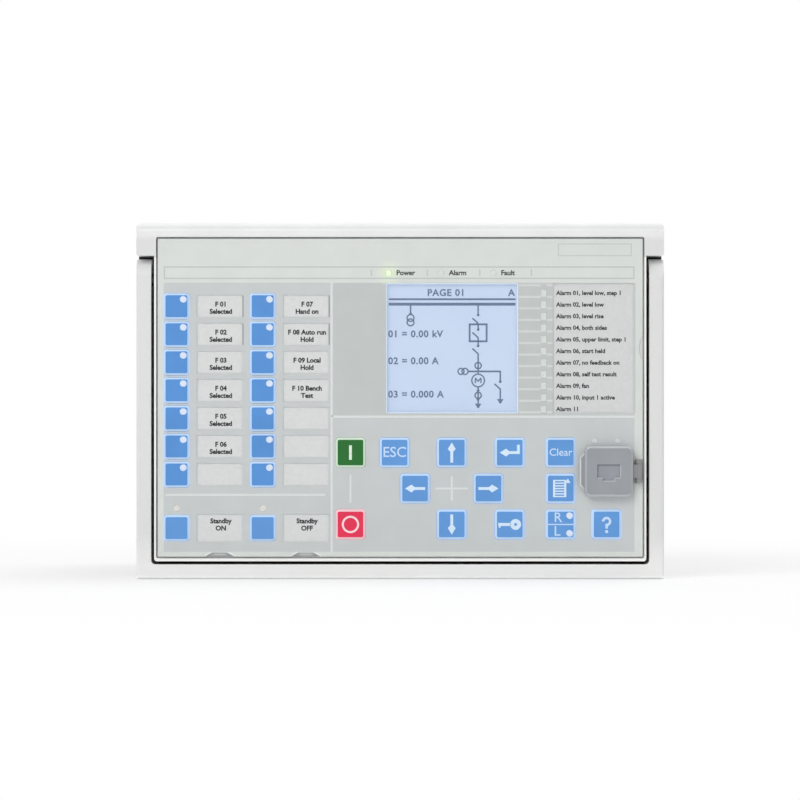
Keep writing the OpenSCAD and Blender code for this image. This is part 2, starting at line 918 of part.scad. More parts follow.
// Glass in the panel's opening and the module's frame behind the plate
module display_module() {
    color("lightsteelblue") {
        depth_block(
            display_x, display_z, display_w - 2 * part_gap, display_h - 2 * part_gap,
            glass_y, plate_rear_y + 1
        );
        depth_block(
            display_x, display_z, display_w + 2 * module_margin, display_h + 2 * module_margin,
            plate_rear_y, plate_rear_y + module_t
        );
    }
}

// Board behind the keys with one contact dome under each key
module keypad_board() {
    dome_r = 2.6;
    edge = 1.5;
    color("darkgreen")
        difference() {
            union() {
                depth_block(
                    0, 0, opening_w - 2 * edge, opening_h - 2 * edge, keypad_y, keypad_y + keypad_t
                );
                for (i = [0 : function_count - 1])
                    depth_rod(key_column(i), key_row(i), dome_r, keypad_y - dome_h, keypad_y + 0.5);
                for (k = command_keys)
                    depth_rod(k[1], k[2], dome_r, keypad_y - dome_h, keypad_y + 0.5);
            }
            depth_block(
                display_x, display_z, display_w + 2 * module_margin + 2 * part_gap,
                display_h + 2 * module_margin + 2 * part_gap, keypad_y - 1, keypad_y + keypad_t + 1
            );
            depth_block(
                port_x, port_z, jack_w + 2 * slip_gap, jack_h + 2 * slip_gap,
                keypad_y - 1, keypad_y + keypad_t + 1
            );
        }
}

// Clear rods from the keypad board to the faces of the keys
module key_light_pipes() {
    pipe_y = key_face_y + 0.02;
    color("white") {
        for (i = [0 : 2 * function_rows - 1])
            depth_rod(
                key_column(i) + pipe_offset[0], key_row(i) + pipe_offset[1],
                pipe_d / 2, pipe_y, keypad_y
            );
        for (d = remote_dots)
            depth_rod(
                command_keys[remote_local][1] + d[0], command_keys[remote_local][2] + d[1],
                pipe_d / 2, pipe_y, keypad_y
            );
    }
}

module indicator_lenses() {
    color("white")
        front_slab(film_y - lens_proud, keypad_y)
            lens_outlines(0);
}

module label_strips() {
    color("white")
        front_slab(plate_y + slip_gap / 2, plate_y + slip_gap / 2 + strip_t)
            difference() {
                strip_outlines(0);
                translate([0, panel_bottom])
                    square([panel_w, 1], center = true);
            }
}

module service_port() {
    color("dimgray")
        translate([port_x, jack_y, port_z])
            modular_socket(jack_depth);
}

// Sheet tube with vent slots above and below the boards
module unit_chassis() {
    slot_w = 4;
    slot_l = 60;
    slot_count = 12;
    slot_pitch = chassis_w / (slot_count + 1);
    slot_mid_y = (frame_rear_y + chassis_depth) / 2;
    color("silver")
        difference() {
            front_slab(frame_rear_y, chassis_depth)
                difference() {
                    square([chassis_w, chassis_h], center = true);
                    square([chassis_w - 2 * chassis_t, chassis_h - 2 * chassis_t], center = true);
                }
            for (i = [0 : slot_count - 1])
                translate([(i - (slot_count - 1) / 2) * slot_pitch, slot_mid_y, 0])
                    cube([slot_w, slot_l, 2 * chassis_h], center = true);
        }
}

// Board plate in the plane of Y and Z with a contact tongue at the rear
module card(index) {
    x = board_mid_x + index * board_pitch - board_t / 2;
    translate([x, 0, 0]) {
        translate([0, board_front_y, -board_h / 2])
            cube([board_t, board_rear_y - board_front_y, board_h]);
        translate([0, board_rear_y - 1, -tongue_h / 2])
            cube([board_t, tongue_l + 1, tongue_h]);
    }
}

// Block on the left face of a board, centred on shares of the board's length and height
module on_card(index, along, up, size) {
    left_face = board_mid_x + index * board_pitch - board_t / 2;
    y = board_front_y + along * board_l;
    translate([left_face - size[0], y - size[1] / 2, up * board_h - size[2] / 2])
        cube([size[0] + board_t / 2, size[1], size[2]]);
}

module processor_board() {
    color("darkgreen") {
        card(-1);
        on_card(-1, 0.4, 0.13, [3, 28, 28]);
        on_card(-1, 0.75, 0.23, [2, 14, 20]);
        on_card(-1, 0.75, 0.03, [2, 14, 20]);
        on_card(-1, 0.4, -0.2, [4, 20, 20]);
        on_card(-1, 0.8, -0.27, [8, 12, 30]);
    }
}

module supply_board() {
    capacitor_r = 8;
    color("darkgreen") {
        card(0);
        on_card(0, 0.55, 0.13, [26, 30, 36]);
        on_card(0, 0.82, -0.2, [20, 10, 50]);
        for (up = [-0.13, -0.29])
            translate([board_mid_x, board_front_y + 0.4 * board_l, up * board_h])
                rotate([0, -90, 0])
                    cylinder(h = 26, r = capacitor_r);
    }
}

module output_board() {
    relay = [15, 28, 12];
    color("darkgreen") {
        card(1);
        for (column = [0, 1], row = [-2 : 2])
            on_card(1, 0.32 + column * 0.36, row * 0.16, relay);
    }
}

// Shoulder pins through the side walls of the frame, with their heads inside
module handle_pins() {
    head_t = 1.5;
    pin_l = rim_right + handle_gap + pivot_reach - part_gap - pocket_right;
    color("silver")
        for (sx = [-1, 1])
            translate([sx * pocket_right, pivot_y, pivot_z])
                rotate([0, sx * 90, 0]) {
                    cylinder(h = pin_l, d = pivot_d);
                    translate([0, 0, -head_t])
                        cylinder(h = head_t, d = 1.5 * pivot_d);
                }
}

// U-shaped grip, hinged at the round upper ends of its arms
module pull_handle() {
    inner_r = rim_corner_r + handle_gap / 2;
    inner_w = frame_w - 2 * arm_w;
    arm_l = arm_top + frame_h / 2;
    foot_r = 2;
    color("whitesmoke")
        difference() {
            intersection() {
                front_slab(handle_front_y, handle_rear_y)
                    difference() {
                        translate([0, arm_top - arm_l / 2])
                            rounded_rect(frame_w, arm_l, 0.8);
                        translate([0, -frame_h / 2 + grip_h + arm_l])
                            rounded_rect(inner_w, 2 * arm_l, inner_r);
                    }
                side_slab(-frame_w, frame_w) {
                    translate([pivot_y, pivot_z])
                        circle(handle_depth / 2);
                    translate([handle_front_y, -frame_h / 2 + foot_r])
                        square([handle_depth, pivot_z + frame_h / 2 - foot_r]);
                    translate([pivot_y, -frame_h / 2 + 2 * foot_r])
                        rounded_rect(handle_depth, 4 * foot_r, foot_r);
                }
                plan_slab(-frame_h, frame_h)
                    translate([0, pivot_y])
                        rounded_rect(frame_w, handle_depth, handle_edge_r);
            }
            for (sx = [-1, 1])
                translate([sx * (inner_w / 2), pivot_y, pivot_z])
                    rotate([0, 90, 0])
                        cylinder(h = 2 * pivot_reach, d = pivot_d + 2 * running_gap, center = true);
        }
}

// Cap with a lift lip on the left, a socket-shaped recess and a hinge knuckle on the right
module port_cover() {
    corner_r = 2;
    bevel = 1;
    lip_w = 2.4;
    lip_h = 13.6;
    lip_t = 2;
    mark_depth = 0.4;
    mark_w = socket_w - 0.4;
    mark_h = socket_h - 0.2;
    link_h = knuckle_h - 2 * part_gap;
    link_t = 2;
    pin_l = knuckle_h + 2 * (lug_gap + lug_t);
    color("darkgray")
        difference() {
            union() {
                translate([port_x, 0, port_z])
                    bevelled_block(
                        cover_size, cover_h, corner_r, bevel, bevel, cover_front_y, cover_rear_y
                    );
                translate([port_x - cover_size / 2, 0, port_z])
                    front_slab(cover_rear_y - lip_t - 1, cover_rear_y - 1)
                        polygon([
                            [1, -lip_h / 2 - lip_w], [-lip_w, -lip_h / 2], [-lip_w, lip_h / 2],
                            [1, lip_h / 2 + lip_w]
                        ]);
                translate([port_x + cover_size / 2 - 1, hinge_y - link_t / 2, port_z - link_h / 2])
                    cube([hinge_x - port_x - cover_size / 2 + 1, link_t, link_h]);
                translate([hinge_x, hinge_y, port_z]) {
                    cylinder(h = knuckle_h, r = knuckle_r, center = true);
                    cylinder(h = pin_l, d = hinge_d, center = true);
                }
            }
            translate([port_x, 0, port_z])
                front_slab(cover_front_y - 1, cover_front_y + mark_depth) {
                    square([mark_w, mark_h], center = true);
                    translate([0, -mark_h / 2])
                        square([mark_w / 2, 3], center = true);
                }
        }
}

// Key with a bevelled cap, a rim behind the panel plate, a push rod and holes for light pipes
module key(x, z, size, holes) {
    rod_r = 2.2;
    translate([x, 0, z])
        difference() {
            union() {
                bevelled_block(
                    size, size, key_corner_r, key_bevel(size), key_bevel_h,
                    key_face_y, key_rim_y + key_rim_t
                );
                depth_block(0, 0, size + 2 * key_rim_w, size, key_rim_y, key_rim_y + key_rim_t);
                depth_rod(0, 0, rod_r, key_rim_y, rod_end_y);
            }
            for (p = holes)
                depth_rod(p[0], p[1], pipe_d / 2 + pipe_clearance, key_face_y - 1, rod_end_y + 1);
        }
}

module function_key_cap(i) {
    color("cornflowerblue")
        key(key_column(i), key_row(i), function_key, i < 2 * function_rows ? [pipe_offset] : []);
}

module command_key_cap(i) {
    k = command_keys[i];
    color(k[3])
        key(k[1], k[2], command_key, i == remote_local ? remote_dots : []);
}

case_tray();
case_cover();
rear_panel();
mounting_frame();
panel_gasket();
guide_rails();
backplane_board();
backplane_sockets();
terminal_blocks();
terminal_screws();
lan_sockets();
current_transformers();
earth_stud();
case_screws();
front_frame();
front_panel();
front_film();
display_window();
display_module();
keypad_board();
key_light_pipes();
indicator_lenses();
label_strips();
service_port();
unit_chassis();
processor_board();
supply_board();
output_board();
handle_pins();
pull_handle();
port_cover();
for (i = [0 : function_count - 1])
    function_key_cap(i);
for (i = [0 : len(command_keys) - 1])
    command_key_cap(i);
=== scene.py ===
import math
import bpy
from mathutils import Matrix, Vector


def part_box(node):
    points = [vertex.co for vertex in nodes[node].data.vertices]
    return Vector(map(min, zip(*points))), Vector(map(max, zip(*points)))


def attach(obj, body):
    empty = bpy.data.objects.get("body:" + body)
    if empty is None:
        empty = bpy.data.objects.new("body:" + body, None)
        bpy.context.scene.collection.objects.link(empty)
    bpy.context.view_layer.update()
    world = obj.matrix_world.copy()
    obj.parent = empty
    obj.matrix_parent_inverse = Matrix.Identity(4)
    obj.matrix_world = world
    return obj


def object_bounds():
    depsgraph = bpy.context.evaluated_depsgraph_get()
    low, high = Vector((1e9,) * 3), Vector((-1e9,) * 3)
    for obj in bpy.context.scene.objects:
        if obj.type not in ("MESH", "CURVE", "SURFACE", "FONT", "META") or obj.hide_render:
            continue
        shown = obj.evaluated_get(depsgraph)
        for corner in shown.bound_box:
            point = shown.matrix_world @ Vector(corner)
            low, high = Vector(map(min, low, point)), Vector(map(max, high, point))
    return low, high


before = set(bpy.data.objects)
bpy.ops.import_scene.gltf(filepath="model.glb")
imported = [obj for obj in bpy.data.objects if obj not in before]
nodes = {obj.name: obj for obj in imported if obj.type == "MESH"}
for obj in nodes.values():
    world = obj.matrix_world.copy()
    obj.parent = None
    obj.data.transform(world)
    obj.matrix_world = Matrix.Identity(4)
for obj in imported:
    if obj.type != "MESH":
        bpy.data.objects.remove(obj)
cadLow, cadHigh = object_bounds()
mm = 0.001
quarter = math.pi / 2
print("stage: frame loaded,", len(nodes), "nodes")

# Planes that prints lie on, in front and behind
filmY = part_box("front_film")[0].y
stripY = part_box("label_strips")[0].y
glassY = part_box("display_module")[0].y
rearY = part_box("rear_panel")[1].y
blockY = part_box("terminal_blocks")[1].y


# Edges of a node in mm: left, right, bottom and top, drawn in by a margin
def edgesOf(node, margin=0):
    low, high = (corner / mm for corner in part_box(node))
    return {
        "left": low.x + margin, "right": high.x - margin,
        "bottom": low.z + margin, "top": high.z - margin,
    }


# The display's lit face and the film's grey field, set in from the edges of the window and the film
inset = {"window": 1.5, "left": 2.9, "right": 4.0, "bottom": 2.4, "header": 21.8}
film = edgesOf("front_film")
display = edgesOf("display_window", inset["window"])
field = {
    "left": film["left"] + inset["left"], "right": film["right"] - inset["right"],
    "bottom": film["bottom"] + inset["bottom"], "top": film["top"] - inset["header"],
}

# The status lamp that is lit, with the core and the reach of the glow painted round it on the film as
# painted light
statusLamp = {"x": display["left"] + 1.05, "z": field["top"] + 4.8, "share": 0.9, "core": 1.0, "reach": 7.0}


def centreOf(node):
    low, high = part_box(node)
    return (low + high) / 2


firstKey, secondKey = centreOf("function_key_1") / mm, centreOf("function_key_2") / mm
columnPitch = secondKey.x - firstKey.x
labelColumns = (firstKey.x + columnPitch / 2, secondKey.x + columnPitch / 2)


# Small modelling steps

def clearSelection():
    bpy.ops.object.select_all(action="DESELECT")


def selectOnly(*objs):
    clearSelection()
    for obj in objs:
        obj.select_set(True)
    bpy.context.view_layer.objects.active = objs[0]


def applyPlace(obj):
    selectOnly(obj)
    bpy.ops.object.transform_apply(location=True, rotation=True, scale=True)
    return obj


def joinAll(objs):
    selectOnly(*objs)
    if len(objs) > 1:
        bpy.ops.object.join()
    return objs[0]


def copyOf(obj):
    twin = obj.copy()
    twin.data = obj.data.copy()
    bpy.context.scene.collection.objects.link(twin)
    return twin


def startEdit():
    bpy.ops.object.mode_set(mode="EDIT")


def editAll(obj):
    selectOnly(obj)
    startEdit()
    bpy.ops.mesh.select_all(action="SELECT")


def endEdit():
    bpy.ops.object.mode_set(mode="OBJECT")


# In edit mode afterwards, with the faces or edges that pass the test selected
def pick(obj, kind, items, test):
    selectOnly(obj)
    startEdit()
    bpy.ops.mesh.select_mode(type=kind)
    bpy.ops.mesh.select_all(action="DESELECT")
    endEdit()
    for item in getattr(obj.data, items):
        item.select = test(item)
    startEdit()


def pickFaces(obj, test):
    pick(obj, "FACE", "polygons", test)


def pickEdges(obj, test):
    pick(obj, "EDGE", "edges", lambda edge: test(*(obj.data.vertices[i].co for i in edge.vertices)))


# Ends the edit of a closed shell, with all its faces turned outwards
def endShell():
    bpy.ops.mesh.select_all(action="SELECT")
    bpy.ops.mesh.normals_make_consistent(inside=False)
    endEdit()


# Flat rectangle that faces the front; x, z, width and height in mm, y in metres
def addFlat(x, z, w, h, y):
    clearSelection()
    bpy.ops.mesh.primitive_plane_add(size=1, location=(x * mm, y, z * mm), rotation=(quarter, 0, 0))
    flat = bpy.context.object
    flat.scale = (w * mm, h * mm, 1)
    return applyPlace(flat)


def addBars(bars, y):
    flat = addFlat(*bars[0], y)
    startEdit()
    for x, z, w, h in bars[1:]:
        place = (x * mm, y, z * mm)
        bpy.ops.mesh.primitive_plane_add(size=1, location=place, rotation=(quarter, 0, 0))
        bpy.ops.transform.resize(value=(w * mm, 1, h * mm), center_override=place)
    endEdit()
    return flat


# Straight stroke from one point to another
def addStroke(x0, z0, x1, z1, line, y):
    clearSelection()
    place = ((x0 + x1) / 2 * mm, y, (z0 + z1) / 2 * mm)
    slope = math.atan2(z1 - z0, x1 - x0)
    bpy.ops.mesh.primitive_plane_add(size=1, location=place, rotation=(quarter, -slope, 0))
    stroke = bpy.context.object
    stroke.scale = (math.hypot(x1 - x0, z1 - z0) * mm, line * mm, 1)
    return applyPlace(stroke)


# Leaves only a line along the edge of a flat face
def hollow(flat, line):
    editAll(flat)
    bpy.ops.mesh.inset(thickness=line * mm)
    bpy.ops.mesh.delete(type="FACE")
    endEdit()
    return flat


def addOutline(left, right, bottom, top, line, y):
    return hollow(addFlat((left + right) / 2, (bottom + top) / 2, right - left, top - bottom, y), line)


# Disc, or a ring where a line width is given
def addDisc(x, z, radius, y, line=0, sides=32):
    clearSelection()
    bpy.ops.mesh.primitive_circle_add(
        vertices=sides, radius=radius * mm, fill_type="NGON",
        location=(x * mm, y, z * mm), rotation=(quarter, 0, 0),
    )
    disc = applyPlace(bpy.context.object)
    return hollow(disc, line) if line else disc


def thicken(flat, depth, along=-1):
    editAll(flat)
    bpy.ops.mesh.extrude_region_move(TRANSFORM_OT_translate={"value": (0, along * depth * mm, 0)})
    endShell()
    return flat


# Lettering as a thin solid mesh that stands on the plane y; it is drawn large and scaled down
def addWord(text, x, z, y, look, rear=False):
    clearSelection()
    side = 1 if rear else -1
    turn = math.pi if rear else 0
    half = look["depth"] / 2
    place = (x * mm, y + side * half * mm, z * mm)
    bpy.ops.object.text_add(location=place, rotation=(quarter, 0, turn))
    word = bpy.context.object
    word.data.body = text
    word.data.align_x = look.get("align", "CENTER")
    word.data.align_y = "CENTER"
    word.data.offset = look.get("bold", 0)
    word.data.space_character = look.get("spacing", 1)
    word.data.resolution_u = look.get("smooth", 3)
    word.data.extrude = 0.5
    bpy.ops.object.convert(target="MESH")
    word = bpy.context.object
    size = look["width"] / word.dimensions.x if "width" in look else look["size"]
    word.scale = (size * mm, size * mm, 2 * half * mm)
    editAll(word)
    bpy.ops.mesh.remove_doubles(threshold=0.0005)
    endEdit()
    return applyPlace(word)


def finishPiece(obj, name, body, finish):
    applyPlace(obj)
    obj.name = name
    obj.data.name = name
    obj.data.materials.clear()
    obj.data.materials.append(finishes[finish])
    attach(obj, body)


# Materials

def linear(colour):
    def one(value):
        value = value / 255
        return value / 12.92 if value <= 0.04045 else ((value + 0.055) / 1.055) ** 2.4
    return tuple(one(value) for value in colour) + (1.0,)


def shade(colour, share):
    return tuple(max(0, min(255, value * share)) for value in colour)


class Finish:
    # Nodes of a material or a world under way: their tree, its shader and the object coordinates
    def __init__(self, owner, shader="Principled BSDF"):
        owner.use_nodes = True
        self.owner = owner
        self.tree = owner.node_tree
        self.shader = self.tree.nodes[shader]
        self.place = self.add("ShaderNodeTexCoord").outputs["Object"]

    # A new node with its settings; its sockets are fed by name or by number
    def add(self, kind, sockets=None, **settings):
        node = self.tree.nodes.new(kind)
        for key, value in settings.items():
            setattr(node, key, value)
        for key, value in (sockets or {}).items():
            self.feed(node.inputs[key], value)
        return node

    # A number or a vector is set on the socket, a colour is made linear first, an output is linked
    def feed(self, socket, value):
        if isinstance(value, tuple):
            socket.default_value = linear(value)
        elif isinstance(value, (int, float, Vector)):
            socket.default_value = value
        else:
            self.tree.links.new(value, socket)

    # Feeds the shader; an underscore stands for the space in a socket's name
    def set(self, **values):
        for key, value in values.items():
            self.feed(self.shader.inputs[key.replace("_", " ")], value)

    def noise(self, scale, detail=3, stretch=None):
        place = self.place
        if stretch is not None:
            place = self.add("ShaderNodeMapping", {"Scale": stretch, "Vector": place}).outputs["Vector"]
        sockets = {"Scale": scale, "Detail": detail, "Vector": place}
        return self.add("ShaderNodeTexNoise", sockets).outputs["Fac"]

    def math(self, operation, *values):
        return self.add("ShaderNodeMath", dict(enumerate(values)), operation=operation).outputs[0]

    def spread(self, source, low, high, start=0.3, end=0.7):
        sockets = {"Value": source, "From Min": start, "From Max": end, "To Min": low, "To Max": high}
        return self.add("ShaderNodeMapRange", sockets).outputs["Result"]

    def blend(self, share, first, second, kind="MIX"):
        sockets = {0: share, 6: first, 7: second}
        return self.add("ShaderNodeMix", sockets, data_type="RGBA", blend_type=kind).outputs[2]

    def axes(self):
        return self.add("ShaderNodeSeparateXYZ", {0: self.place}).outputs

    # 1 inside a range of one axis, in mm
    def within(self, axis, low, high):
        return self.math("COMPARE", axis, (low + high) / 2 * mm, (high - low) / 2 * mm)

    # 1 inside a rectangle of the front, in mm
    def area(self, left, right, bottom, top):
        x, y, z = self.axes()
        return self.math("MULTIPLY", self.within(x, left, right), self.within(z, bottom, top))

    # 1 for the rays of the camera, of gloss and of glass
    def seen(self):
        path = self.add("ShaderNodeLightPath").outputs
        eye = self.math("MAXIMUM", path["Is Camera Ray"], path["Is Glossy Ray"])
        return self.math("MAXIMUM", eye, path["Is Transmission Ray"])

    def bump(self, source, strength, distance):
        sockets = {"Height": source, "Strength": strength, "Distance": distance}
        self.set(Normal=self.add("ShaderNodeBump", sockets).outputs["Normal"])

    # A colour that drifts between two shades of itself
    def mottled(self, source, colour, low, high):
        face = self.blend(self.spread(source, 0, 1), shade(colour, low), shade(colour, high))
        self.set(Base_Color=face)
        return face

    # Faint clouds that darken a face by a few levels
    def clouded(self, face, scale, deepest):
        cloud = self.spread(self.noise(scale, 4), 0, 1)
        tint = self.blend(cloud, deepest, (255, 255, 255))
        self.set(Base_Color=self.blend(1, face, tint, "MULTIPLY"))

    # Fine moulded grain: roughness between two values and a slight bump
    def grained(self, scale, low, high, strength=0.12, distance=0.00004, detail=2):
        speck = self.noise(scale, detail)
        self.set(Roughness=self.spread(speck, low, high))
        self.bump(speck, strength, distance)


# Plastic, paint or rubber: mottled a little, with a fine moulded grain
def moulded(finish, colour, rough=0.45, mottle=0.025, grain=2600, bump=0.12, metal=0.0, specular=0.4):
    finish.mottled(finish.noise(55, 4), colour, 1 - mottle, 1 + mottle)
    finish.grained(grain, rough - 0.06, rough + 0.06, bump)
    finish.set(Metallic=metal, Specular_IOR_Level=specular)


# Flat ink; it also makes the painted highlight along the finger notches
def inkPrint(finish, colour, rough=0.55):
    patch = finish.noise(900, 3)
    finish.mottled(patch, colour, 0.985, 1.012)
    finish.set(Roughness=finish.spread(patch, rough - 0.08, rough + 0.08), Specular_IOR_Level=0.25)


# Grain that the white mouldings of the front share
whiteGrain = {"scale": 2200, "low": 0.4, "high": 0.52}


# White moulding of the front frame: the top bar is painted lighter than the ears and the rim below them
# brightest, as painted light
def frameMoulding(finish):
    colours = {"ears": (223, 223, 224), "bar": (236, 236, 237), "rim": (250, 250, 249)}
    rim = {"side": 2.2, "below": 4.0, "ears": 9.2}
    bar = {"start": -1.0, "end": 2.0}
    x, y, z = finish.axes()
    # Painted highlight: the rim inside the ears is painted brightest
    inside = finish.area(
        film["left"] - rim["side"], film["right"] + rim["side"],
        film["bottom"] - rim["below"], film["top"] - rim["ears"],
    )
    # Painted light: above the film's top edge the bar is painted lighter than the ears
    high = finish.spread(z, 0, 1, (film["top"] + bar["start"]) * mm, (film["top"] + bar["end"]) * mm)
    band = finish.blend(high, colours["ears"], colours["bar"])
    flat = finish.blend(inside, band, colours["rim"])
    finish.clouded(flat, 40, (248, 248, 247))
    finish.grained(**whiteGrain)


# Handle moulding, painted a little paler along the grip than on the arms and palest at its lower edge:
# painted light that lifts the shade there
def handleMoulding(finish):
    colours = {"arms": (221, 222, 221), "grip": (236, 236, 235), "edge": (254, 254, 254)}
    grip = {"start": -4.0, "end": 12.0}
    edge = {"start": 1.0, "end": 2.0}
    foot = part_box("pull_handle")[0].z / mm
    x, y, z = finish.axes()
    # Painted light: the grip is painted paler than the arms
    low = finish.spread(z, 1, 0, (film["bottom"] + grip["start"]) * mm, (film["bottom"] + grip["end"]) * mm)
    side = finish.blend(low, colours["arms"], colours["grip"])
    # Painted highlight along the lowest edge, where shade falls near the floor
    lowest = finish.spread(z, 1, 0, (foot + edge["start"]) * mm, (foot + edge["end"]) * mm)
    finish.set(Base_Color=finish.blend(lowest, side, colours["edge"]), Specular_IOR_Level=0.4)
    finish.grained(**whiteGrain)


# Printed film: light base, a grey field that is darker beside the display, and a painted glow round the lit
# lamp, painted light on the film
def filmPrint(finish):
    colours = {
        "base": (217, 221, 217), "field": (200, 204, 204),
        "beside": (194, 198, 197), "glow": (224, 238, 208),
    }
    ground = {"left": 26.6, "right": 18.0, "below": 1.0}
    x, y, z = finish.axes()
    inside = finish.area(field["left"], field["right"], field["bottom"], field["top"])
    beside = finish.area(
        display["left"] - ground["left"], display["right"] + ground["right"],
        display["bottom"] - ground["below"], display["top"],
    )
    grey = finish.blend(beside, colours["field"], colours["beside"])
    flat = finish.blend(inside, colours["base"], grey)
    # Painted glow of the lit lamp: the film is painted paler towards the lamp
    squares = [
        finish.math("POWER", finish.math("SUBTRACT", axis, middle * mm), 2)
        for axis, middle in ((x, statusLamp["x"]), (z, statusLamp["z"]))
    ]
    away = finish.math("SQRT", finish.math("ADD", *squares))
    near = finish.spread(away, statusLamp["share"], 0, statusLamp["core"] * mm, statusLamp["reach"] * mm)
    lit = finish.blend(near, flat, colours["glow"])
    finish.clouded(lit, 70, (250, 250, 250))
    finish.grained(scale=3200, low=0.48, high=0.6, strength=0.1, distance=0.00003)
    finish.set(Specular_IOR_Level=0.35)


# Paper of the label strips; in the finger notches it is painted grey, darker towards their sloping ends, as
# painted shade
def labelPaper(finish):
    colours = {
        "labels": (217, 219, 218), "list": (212, 213, 213),
        "middle": (188, 190, 191), "end": (120, 122, 124),
    }
    notch = {"top": film["bottom"] + 2.3, "flat": 2.0, "half": 7.2}
    fibres = (0.985, 1.01)
    x, y, z = finish.axes()
    # Painted shade in the notches: grey paper, deepest towards their sloping ends
    away = [finish.math("ABSOLUTE", finish.math("SUBTRACT", x, column * mm)) for column in labelColumns]
    nearest = finish.math("MINIMUM", *away)
    outward = finish.spread(nearest, 0, 1, notch["flat"] * mm, notch["half"] * mm)
    paintedNotchShade = finish.blend(outward, colours["middle"], colours["end"])
    low = finish.within(z, film["bottom"] - 1, notch["top"])
    fibre = finish.spread(finish.noise(600, 4), 0, 1)
    right = finish.spread(x, 0, 1, display["left"] * mm, display["right"] * mm)
    deep, pale = (
        finish.blend(right, shade(colours["labels"], share), shade(colours["list"], share))
        for share in fibres
    )
    paper = finish.blend(fibre, deep, pale)
    finish.set(Base_Color=finish.blend(low, paper, paintedNotchShade), Specular_IOR_Level=0.15)
    finish.grained(scale=1500, low=0.7, high=0.85, strength=0.2, detail=3)


# Zinc-coated sheet: spangle of faint crystals and a drawn grain
def zincSheet(finish, colour, rough=0.4, metal=0.85, spangle=230):
    crystal = finish.add("ShaderNodeTexVoronoi", {"Scale": spangle, "Vector": finish.place})
    tone = finish.add("ShaderNodeSeparateColor", {0: crystal.outputs["Color"]}).outputs[0]
    drawn = finish.noise(400, 4, Vector((1, 12, 1)))
    finish.set(
        Base_Color=finish.blend(tone, shade(colour, 0.97), shade(colour, 1.015)),
        Roughness=finish.spread(drawn, rough - 0.08, rough + 0.1), Metallic=metal,
    )
    finish.bump(drawn, 0.06, 0.00003)


# Board laminate with faint copper tracks; the tongues of the cards carry gilded contacts
def boardLaminate(finish, turn=Vector((0, quarter, 0)), gilded=True):
    colours = {"mask": (30, 86, 52), "track": (58, 122, 78), "gilt": (214, 176, 92)}
    track = {"scale": 90, "line": 0.035, "patches": 60, "break": (0.45, 0.5)}
    contacts = {"perMetre": 400, "gap": 0.38, "length": 8.5}
    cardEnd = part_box("processor_board")[1].y / mm
    x, y, z = finish.axes()
    turned = finish.add("ShaderNodeMapping", {"Rotation": turn, "Vector": finish.place}).outputs["Vector"]
    tracks = finish.add(
        "ShaderNodeTexBrick", {"Scale": track["scale"], "Mortar Size": track["line"], "Vector": turned}
    )
    patches = finish.spread(finish.noise(track["patches"]), 0, 1, *track["break"])
    broken = finish.math("MULTIPLY", tracks.outputs["Fac"], patches)
    face = finish.blend(broken, colours["mask"], colours["track"])
    if gilded:
        turns = finish.math("FRACT", finish.math("MULTIPLY", z, contacts["perMetre"]))
        stripe = finish.math("GREATER_THAN", turns, contacts["gap"])
        tongue = finish.within(y, cardEnd - contacts["length"], cardEnd + 1)
        edge = finish.math("MULTIPLY", tongue, stripe)
        face = finish.blend(edge, face, colours["gilt"])
        finish.set(Metallic=edge)
    finish.set(Base_Color=face, Roughness=finish.spread(finish.noise(1500, 3), 0.3, 0.45))
    finish.bump(broken, 0.15, 0.00005)


# Rows of enamelled wire, wound along Y; the grooves between the turns are painted darker than the crests,
# as painted shade
def woundWire(finish):
    colours = {"groove": (110, 58, 30), "crest": (178, 104, 58)}
    pitch = 0.9 * mm
    x, y, z = finish.axes()
    turn = finish.math("SINE", finish.math("MULTIPLY", y, 2 * math.pi / pitch))
    crest = finish.spread(turn, 0, 1, -1, 1)
    wound = finish.blend(crest, colours["groove"], colours["crest"])
    finish.set(Base_Color=wound, Roughness=0.35, Metallic=0.6)
    finish.bump(turn, 0.6, 0.0002)


# Backlit liquid-crystal face
def crystalFace(finish):
    colours = {"deep": (196, 212, 238), "pale": (201, 217, 240)}
    cloud = finish.noise(28, 3)
    face = finish.blend(finish.spread(cloud, 0, 1), colours["deep"], colours["pale"])
    finish.set(Base_Color=face, Emission_Color=face, Emission_Strength=0.06, Roughness=0.35)
    finish.bump(finish.noise(2400, 2), 0.05, 0.00003)


def clearPane(finish):
    haze = finish.spread(finish.noise(120, 3), 0.06, 0.14)
    finish.set(Base_Color=(226, 236, 246), Alpha=0.1, IOR=1.46, Roughness=haze)
    finish.owner.blend_method = "BLEND"


# Glowing face: lamps that are lit, and painted glows, painted light, on the display bezel, the gaps round
# the caps and the lens flanks
def litLens(finish, colour, strength):
    cloud = finish.noise(700, 2)
    face = finish.mottled(cloud, colour, 0.97, 1)
    finish.set(Emission_Color=face, Emission_Strength=strength, Roughness=0.25)
    finish.bump(cloud, 0.1, 0.00003)


